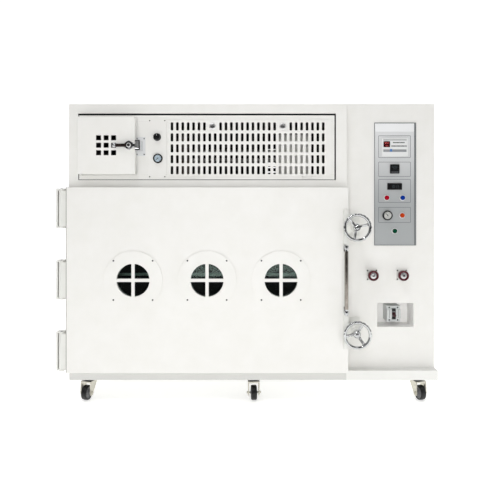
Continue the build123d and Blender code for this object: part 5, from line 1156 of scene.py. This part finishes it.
# %% Mould the bezels and their figures
BARS = {
    "0": "abcdef", "1": "bc", "2": "abged", "3": "abgcd", "4": "fgbc",
    "5": "afgcd", "6": "afgedc", "7": "abc", "8": "abcdefg", "9": "abcdfg",
}
BAR_PLACES = {
    "a": (0, 1, 0), "b": (0.5, 0.5, 1), "c": (0.5, -0.5, 1), "d": (0, -1, 0),
    "e": (-0.5, -0.5, 1), "f": (-0.5, 0.5, 1), "g": (0, 0, 0),
}


def bar_figures(name, text, tall, place, material):
    """Seven-bar figures, tall millimetres high, in a row centred on place."""
    shape = bmesh.new()
    pitch = tall * 0.78
    long, thick = tall * 0.38, tall * 0.09
    for i, figure in enumerate(text):
        start = (i - (len(text) - 1) / 2) * pitch
        for bar in BARS[figure]:
            x, y, upright = BAR_PLACES[bar]
            half = (thick / 2, long / 2) if upright else (long / 2, thick / 2)
            centre = (start + x * tall * 0.48, y * tall * 0.45)
            sides = ((-1, -1), (1, -1), (1, 1), (-1, 1))
            base = [(centre[0] + sx * half[0], centre[1] + sy * half[1]) for sx, sy in sides]
            add_block(shape, stand_at(place), base, 0, 0.15)
    return add_piece(name, shape, material, "cabinet")


def bezel(name, width, height, proud, window, sunk, place, material):
    """Moulded case front: rounded lip, and a window (width, height, x, y) sunk into its face."""
    wide, tall, x, y = window
    rings = slabs(
        (width, height, 3, 0), (width, height, 3, proud - 2),
        (width - 1.2, height - 1.2, 2.6, proud - 0.6), (width - 3.6, height - 3.6, 2, proud),
    )
    lip = (wide + 1.6, tall + 1.6, 1.6, proud)
    rings += slabs(lip, (wide, tall, 1, proud - sunk), middle=(x, y))
    return loft(name, rings, [place], material, "cabinet", smooth=40)


print("figures:", len(BARS))

# %% [markdown]
# The three instruments
#
# From the top: a temperature controller in a pale case, with two rows of red figures, a grey
# strip and a blue key; a small black controller with a dim display and four keys; and a
# panel meter that is little more than its window.

# %% Mould the instruments
BEZEL_PROUD = 9.0
CONTROLLER_Z, SMALL_Z, METER_Z = 1299.5, 1187.0, 1096.0
MARK_PITCH = 6.8
case = bezel(
    "controller_case", 135, 95, BEZEL_PROUD, (121, 80, 0, 0), 1.5,
    (INSTRUMENT_X, PANEL_FACE, CONTROLLER_Z), GREY_ABS,
)
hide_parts("panel_instruments")
controller_face = PANEL_FACE - BEZEL_PROUD + 1.5
plates = (
    ("controller_top_line", 121, 3.6, 0, 37.5, 0.8, TRIM_GREY),
    ("controller_display", 34, 31, -42, 15.5, 0.8, RED_WINDOW),
    ("controller_strip", 120, 13, 0, -18, 0.5, STRIP_GREY),
    ("controller_spot", 12, 13, -20, -16, 0.9, BLUE_KEY),
)
for name, wide, tall, x, rise, thick, finish in plates:
    outline = slabs((wide, tall, min(1.2, tall / 3), 0))
    place = (INSTRUMENT_X + x, controller_face, CONTROLLER_Z + rise)
    cut_sheet(name, outline, thick, place, finish, "cabinet", edge=0.1)
mark_rings = slabs((5.2, 6.0, 0.6, 0), (5.2, 6.0, 0.6, 0.3))
for name, count, x, rise in (("upper", 9, 20, 24), ("lower", 12, 22, 6)):
    start = INSTRUMENT_X + x - (count - 1) / 2 * MARK_PITCH
    mark_z = CONTROLLER_Z + rise
    marks = [(start + i * MARK_PITCH, controller_face, mark_z) for i in range(count)]
    loft(f"controller_{name}_marks", mark_rings, marks, DARK_INK, "cabinet")
for name, tall, rise in (("upper", 9, 21), ("lower", 6, 7)):
    place = (INSTRUMENT_X - 42, controller_face - 0.8, CONTROLLER_Z + rise)
    bar_figures(f"controller_{name}_figures", "850", tall, place, RED_GLOW)

bezel(
    "small_controller_case", 48, 48, BEZEL_PROUD, (39, 24, 0, 6.5), 1.2,
    (INSTRUMENT_X, PANEL_FACE, SMALL_Z), BLACK_ABS,
)
for name, tall, rise in (("figures", 9, 11), ("set", 6, 1)):
    place = (INSTRUMENT_X, PANEL_FACE - BEZEL_PROUD + 1.2, SMALL_Z + rise)
    bar_figures(f"small_controller_{name}", "0250", tall, place, DIM_GLOW)
key_rings = slabs((7, 5, 1.2, 0), (7, 5, 1.2, 0.5), (5.8, 3.8, 0.8, 0.9))
keys = [(INSTRUMENT_X + (i - 1.5) * 9.6, PANEL_FACE - BEZEL_PROUD, SMALL_Z - 16) for i in range(4)]
loft("small_controller_keys", key_rings, keys, GREY_KEY, "cabinet")

bezel(
    "meter_case", 75, 34, BEZEL_PROUD, (64, 23, 0, 0), 2.0,
    (INSTRUMENT_X, PANEL_FACE, METER_Z), BLACK_ABS,
)
place = (INSTRUMENT_X, PANEL_FACE - BEZEL_PROUD + 2, METER_Z)
bar_figures("meter_figures", "1013", 14, place, DIM_GLOW)
print("instrument fronts:", 3)

# %% [markdown]
# Buttons and lamp
#
# Each push button is an acrylic cap in a pale plastic ring.  The lamp beside the gauge has
# the same ring, but its cap doesn't move.

# %% Fit the buttons
RING_R = 14.5
CAP_R = 12.0
low, middle, high = span("gauge_bodies")
VACUUM_R, SMALL_R = 25.5, 24.0
VACUUM_GAUGE = (high.x - VACUUM_R, PANEL_FACE, low.z + VACUUM_R)
PLATE_GAUGE = (low.x + SMALL_R, span("gauge_plate")[0].y, high.z - SMALL_R)
LAMP = (INSTRUMENT_X + 39.0, PANEL_FACE, VACUUM_GAUGE[2])
button_ring = [(12.5, 0), (RING_R + 1.3, 0), (RING_R + 1.3, 1.2), (RING_R + 0.3, 2.0)]
button_ring += [(RING_R + 0.3, 4.6), (RING_R - 0.6, 5.4), (12.8, 5.4), (12.5, 4.8)]
cap_face = [(CAP_R - 0.1, 0), (CAP_R - 0.1, 5.6), (11.0, 7.2), (9.4, 8.0), (6.0, 7.6), (2.0, 7.2)]
ring_places = [LAMP]
for hue, finish in (("red", RED_ACRYLIC), ("blue", BLUE_ACRYLIC), ("green", GREEN_ACRYLIC)):
    node_name = f"{hue}_button"
    low, middle, high = span(node_name)
    ring_places.append((middle.x, PANEL_FACE, middle.z))
    stem = [(5.0, -high.y), (5.0, -low.y - 9.5), (CAP_R - 0.1, -low.y - 9.4)]
    stem += [(radius, rise - low.y - 8.0) for radius, rise in cap_face[1:]]
    cap = turned(node_name + "_cap", stem, [(middle.x, 0, middle.z)], finish, node_name)
    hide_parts(node_name)
turned("button_rings", button_ring, ring_places, GREY_ABS, "cabinet", ends=False)
lamp_place = [(LAMP[0], LAMP[1] - 5.0, LAMP[2])]
turned("lamp_cap", cap_face, lamp_place, AMBER_ACRYLIC, "cabinet")
print("button rings:", len(ring_places))

# %% [markdown]
# Gauges
#
# A gauge is a black case with a turned bezel, a printed dial and a flat glass.  Its marks
# sweep three quarters of a circle, longer at every fifth.

# %% Build the gauges
GAUGE_DEPTH = 14.0
DIAL_SINK = 3.9
RIM_WIDTH = 6.2
MARKS = 30
SWEEP = math.radians(270)
SWEEP_START = math.radians(225)


def gauge(name, radius, place, dial_finish, top_figure):
    """Case, dial, marks, figures and glass of one gauge."""
    face = GAUGE_DEPTH
    dial = face - DIAL_SINK
    case = [(radius - 1.5, 0), (radius, 1.2), (radius, face - 3), (radius - 0.6, face - 1)]
    case += [(radius - 1.8, face), (radius - RIM_WIDTH + 1.4, face)]
    case += [(radius - RIM_WIDTH + 0.2, face - 1.2), (radius - RIM_WIDTH, dial)]
    case += [(radius - RIM_WIDTH - 2, dial - 1.0), (radius - RIM_WIDTH - 2, 1.0)]
    body = turned(name + "_case", case, [place], BLACK_ABS, "cabinet", ends=False, count=64)
    disc = [(radius - RIM_WIDTH, dial - 0.6), (radius - RIM_WIDTH, dial)]
    turned(name + "_dial", disc, [place], dial_finish, "cabinet")
    shape = bmesh.new()
    for i in range(MARKS + 1):
        angle = SWEEP_START - SWEEP * i / MARKS
        reach = (radius - 7.2, radius - (10.2 if i % 5 == 0 else 8.8))
        half = 0.30 if i % 5 == 0 else 0.18
        base = []
        for out, side in ((reach[0], 1), (reach[0], -1), (reach[1], -1), (reach[1], 1)):
            x = out * math.cos(angle) - side * half * math.sin(angle)
            y = out * math.sin(angle) + side * half * math.cos(angle)
            base.append((x, y))
        add_block(shape, stand_at(place), base, dial, dial + 0.12)
    add_piece(name + "_marks", shape, DARK_INK, "cabinet")
    for i in range(0, MARKS + 1, 10):
        angle = SWEEP_START - SWEEP * i / MARKS
        out = radius - 12.6
        x, z = place[0] + out * math.cos(angle), place[2] + out * math.sin(angle)
        spot = (x, place[1] - dial, z)
        figures(f"{name}_figure_{i}", str(top_figure * i // MARKS), 3.6, spot, DARK_INK, "cabinet")
    glass_disc = [(radius - RIM_WIDTH, face - 2.0), (radius - RIM_WIDTH, face - 1.2)]
    turned(name + "_glass", glass_disc, [place], COVER_GLASS, "cabinet")
    return body


gauge_case = gauge("plate_gauge", SMALL_R, PLATE_GAUGE, PALE_DIAL, 6)
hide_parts("gauge_bodies")
gauge("vacuum_gauge", VACUUM_R, VACUUM_GAUGE, GREY_DIAL, 9)
print("gauges at", [round(c) for c in PLATE_GAUGE], [round(c) for c in VACUUM_GAUGE])

# %% [markdown]
# Regulator knob and gauge plate
#
# The knob is moulded phenolic with twelve flutes for the fingers and a white line that
# shows how far it is turned.  Four screws hold the plate.

# %% Fit the knob and the plate's screws
def flutes(angle):
    """Wave of the knob's twelve finger flutes."""
    return 1.0 - 0.055 * (0.5 + 0.5 * math.cos(12 * angle)) ** 4


low, middle, high = span("regulator_knob")
back = -span("gauge_plate")[0].y + 0.3
front = -low.y
axis = [(middle.x, 0, middle.z)]
stem = [(3.9, -high.y), (3.9, back), (19.2, back), (19.9, back + 1), (19.9, back + 4)]
stem += [(18.6, back + 5)]
grip = [(18.2, back + 6), (17.2, front - 2), (15.8, front - 0.4)]
top = [(13.5, front), (11, front - 0.8)]
knob_rings = []
for part, wave in ((stem, None), (grip, flutes), (top, None)):
    knob_rings += [ring(radius, height, 96, wave) for radius, height in part]
knob = loft("knob_body", knob_rings, axis, PHENOLIC, "regulator_knob", smooth=40)
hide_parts("regulator_knob")
line = slabs((1.4, 6.0, 0.5, 0))
line_place = (middle.x, low.y + 0.5, middle.z + 8.2)
cut_sheet("knob_line", line, 0.5, line_place, GREY_ABS, "regulator_knob", edge=0.1)
low, middle, high = span("gauge_plate")
across, up = (high.x - low.x) / 2 - 8, (high.z - low.z) / 2 - 8
plate_corners = four([(middle.x, low.y, middle.z)], across, up)
screws("plate_screws", 3.2, plate_corners, DARK_ZINC_AND_SHADE, "cabinet")
print("knob at", [round(c) for c in axis[0]])

# %% [markdown]
# Valves
#
# Each valve has a round wine-red handle on a metal centre.  Its plate is screwed to the
# front by its corners, and a chromed collar carries the stem.

# %% Build the valve handles
VALVE_R = 27.5
VALVE_CENTRE = 16.0


def valve_grip(angle):
    """Wave of the handle's soft lobes."""
    return 1.0 - 0.014 * (0.5 + 0.5 * math.cos(8 * angle))


low, middle, high = span("valve_bodies")
VALVE_X = (low.x + (high.z - low.z) / 2, high.x - (high.z - low.z) / 2)
plate_half = (high.z - low.z) / 2 - 7.5
valve_places = [(x, PANEL_FACE, middle.z) for x in VALVE_X]
valve_screws = four(valve_places, plate_half, plate_half)
screws("valve_screws", 4.0, valve_screws, DARK_ZINC_AND_SHADE, "cabinet")
collar = [(14.05, 0), (15.4, 0), (15.4, 1.5), (14.8, 3), (14.8, 12), (15.2, 13)]
collar += [(15.2, 16.2), (14.05, 16.2)]
turned("valve_collars", collar, valve_places, CHROME, "cabinet", ends=False)
for side in ("left", "right"):
    node_name = f"valve_knob_{side}"
    low, middle, high = span(node_name)
    front, axis = -low.y, [(middle.x, 0, middle.z)]
    back = front - 26.0
    grip = [(VALVE_CENTRE, back + 2), (22, back), (25.4, back + 1.5), (27, back + 5)]
    grip += [(VALVE_R, back + 10), (VALVE_R, front - 8), (26.8, front - 4), (24.8, front - 1.2)]
    grip += [(22.0, front)]
    grip += [(19.2, front - 0.9), (17.0, front - 3.2), (VALVE_CENTRE, front - 6.5)]
    handle = turned(
        node_name + "_grip", grip, axis, VALVE_PHENOLIC, node_name,
        ends=False, count=64, wave=valve_grip,
    )
    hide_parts(node_name)
    centre = [(5.0, back - 14), (5.0, back + 2), (VALVE_CENTRE + 0.3, back + 3)]
    centre += [(VALVE_CENTRE + 0.3, front - 6.5), (14.0, front - 5.4), (8.5, front - 5.0)]
    turned(node_name + "_centre", centre, axis, SATIN_STEEL, node_name)
    nut = [(7.0, front - 5.2), (7.0, front - 2.2), (6.0, front - 1.6)]
    turned(node_name + "_nut", nut, axis, CHROME, node_name, wave=hexagon)
print("valves at", [round(x) for x in VALVE_X])

# %% [markdown]
# The breaker
#
# The breaker's face is moulded in pale plastic.  A black frame surrounds the slot that its
# toggle works in, and two terminal screws show above and below, on a step set back from
# the face.

# %% Dress the breaker
BREAKER_STEP = 8.0  # mm from the face back to the terminals

low, middle, high = span("breaker")
step_middle = (middle.x, low.y + BREAKER_STEP, middle.z)
slot_frame = slabs((20, 57, 1.5, 0), (16.7, 26.2, 0.6, 0))
cut_sheet("breaker_slot", slot_frame, BREAKER_STEP + 0.8, step_middle, BLACK_ABS, "cabinet")
pole_lines = [(middle.x + side * 23.0, low.y, middle.z) for side in (-1, 1)]
pole = slabs((2.0, 44, 0.8, 0), (2.0, 44, 0.8, 0.6), (1.2, 43, 0.5, 0.9))
loft("breaker_poles", pole, pole_lines, PRINT_INK, "cabinet")
terminals = four([step_middle], 22.0, 33.0)
screws("breaker_terminals", 4.2, terminals, DARK_ZINC_AND_SHADE, "cabinet")
print("breaker face at", round(low.y))

# %% [markdown]
# Casters
#
# Each caster has a polyurethane tyre moulded on a nylon wheel, held by an axle bolt with a
# nut.  The wheel's axis is read from its joint, because the front casters stand turned.

# %% Build the wheels
WHEEL_R = 37.5
BORE = 5.1
joints = {joint["child"]: joint for joint in frame["record"]["behaviour"]["joints"]}
tyre_profile = [(27.5, -13), (33, -14.6), (36.4, -12.6), (37.4, -8), (WHEEL_R, 0), (37.4, 8)]
tyre_profile += [(36.4, 12.6), (33, 14.6), (27.5, 13)]
wheel_profile = [(BORE, -17), (10.4, -17), (11, -16.4), (11.6, -12), (14, -10), (24.5, -9.4)]
wheel_profile += [(26.5, -12.6), (28, -13), (28, 13), (26.5, 12.6), (24.5, 9.4), (14, 10)]
wheel_profile += [(11.6, 12), (11, 16.4), (10.4, 17), (BORE, 17)]
bolt_profile = [(8.2, 29.0), (8.2, 33.4), (7.2, 34.2), (4.0, 34.4), (4.0, 36.5), (3.2, 37.2)]
for row in ("front", "rear"):
    for place in ("left", "middle", "right"):
        body = f"wheel_{row}_{place}"
        hub_at = [Vector(joints[body]["pos_m"]) / MM]
        turn = Vector(joints[body]["axis"]).to_track_quat("Z", "Y").to_matrix()
        tyre = turned(f"{body}_tyre", tyre_profile, hub_at, TYRE, body, turn, ends=False, count=64)
        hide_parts(f"caster_wheel_{row}_{place}")
        turned(f"{body}_disc", wheel_profile, hub_at, HUB_NYLON, body, turn, ends=False, count=64)
        fork = joints[body]["parent"]
        for side, name in ((1, "nut"), (-1, "head")):
            flip = turn @ Matrix.Diagonal((1, side, side))
            turned(f"{body}_bolt_{name}", bolt_profile, hub_at, ZINC, fork, flip, wave=hexagon)
print("wheels:", 6)

# %% [markdown]
# The grille
#
# The slots are punched, and a punch has rounded corners.  The sheet is one outline with all
# the slots as holes, and two slots give way to each cam lock.  Two hinge barrels are welded
# along its lower edge.

# %% Punch the grille
SLOT = (13.0, 41.0)  # mm, width and height
SLOT_PITCH = 27.53
SLOT_ROW = 55.75
SLOT_OFFSET = (-5.5, -1.5)  # from the sheet's middle
SLOT_COUNT = (29, 5)  # columns and rows
CAM_SPREAD = 6.5  # slot pitches from the middle to each cam lock
BARREL_R = 4.0
BARREL_X = 300.0  # from the middle

low, middle, high = span("grille_panel")
sheet_low = low.z + 2 * BARREL_R
grille_middle = (middle.x, (high.z + sheet_low) / 2)
outlines = slabs((high.x - low.x, high.z - sheet_low, 3.0, 0))
cam_places = [SLOT_OFFSET[0] + side * CAM_SPREAD * SLOT_PITCH for side in (-1, 1)]
for column in range(SLOT_COUNT[0]):
    for row in range(SLOT_COUNT[1]):
        x = SLOT_OFFSET[0] + (column - (SLOT_COUNT[0] - 1) / 2) * SLOT_PITCH
        y = SLOT_OFFSET[1] + (row - (SLOT_COUNT[1] - 1) / 2) * SLOT_ROW
        if row == SLOT_COUNT[1] - 1 and min(abs(x - cam) for cam in cam_places) < SLOT_PITCH:
            continue
        outlines.append(slab_ring(SLOT[0], SLOT[1], 4.0, 0, steps=5, middle=(x, y)))
cam_y = SLOT_OFFSET[1] + (SLOT_COUNT[1] - 1) / 2 * SLOT_ROW
for cam in cam_places:
    outlines.append([(cam + x, cam_y + y, 0) for x, y, _ in ring(10.1, 0, 32)])
sheet_place = (grille_middle[0], high.y, grille_middle[1])
grille = cut_sheet("grille_sheet", outlines, 2.0, sheet_place, DOOR_PAINT, "grille", edge=0.3)
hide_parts("grille_panel")
barrel = [(2.05, -15), (3.6, -15), (BARREL_R, -14.4), (BARREL_R, 14.4), (3.6, 15), (2.05, 15)]
barrel_y, barrel_z = low.y + BARREL_R, low.z + BARREL_R
barrel_places = [(middle.x + side * BARREL_X, barrel_y, barrel_z) for side in (-1, 1)]
turned("grille_barrels", barrel, barrel_places, DOOR_PAINT, "grille", LEFTWARD, ends=False)
pin = [(1.9, -27), (1.9, 27)]
turned("grille_pins", pin, barrel_places, ZINC, "grille", LEFTWARD)
print("slots:", len(outlines) - 3)

# %% [markdown]
# Cam locks
#
# A domed head with a coin slot turns a flat tongue behind the sheet.

# %% Build the cam locks
CAM_HEAD_R = 17.0
CAM_HEAD_T = 6.0
for side in ("left", "right"):
    node_name = f"cam_lock_{side}"
    low, middle, high = span(node_name)
    cam_x = low.x + CAM_HEAD_R
    sheet_face = low.y + CAM_HEAD_T
    dome = [(9.8, -1.2), (9.8, 0), (CAM_HEAD_R - 0.6, 0), (CAM_HEAD_R, 0.8), (16.6, 2.6)]
    dome += [(15.0, 4.2), (12.0, 5.3), (8.0, 5.8), (3.0, CAM_HEAD_T)]
    head_place = [(cam_x, sheet_face, middle.z)]
    head = turned(node_name + "_head", dome, head_place, SATIN_STEEL, node_name)
    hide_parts(node_name)
    coin = slabs((20, 3, 1.2, 0), (20, 3, 1.2, 0.9))
    loft(node_name + "_slot", coin, [(cam_x, low.y + 0.9, middle.z)], BLACK_ABS, node_name)
    shaft_place = [(cam_x, high.y - 3, middle.z)]
    turned(node_name + "_shaft", [(9.8, 0), (9.8, 9)], shaft_place, ZINC, node_name)
    reach = high.x - cam_x
    tongue = [slab_ring(reach + 8, 14, 3, level, middle=(reach / 2 - 4, 0)) for level in (0, 3)]
    loft(node_name + "_tongue", tongue, [(cam_x, high.y, middle.z)], ZINC, node_name)
print("cam locks: 2")
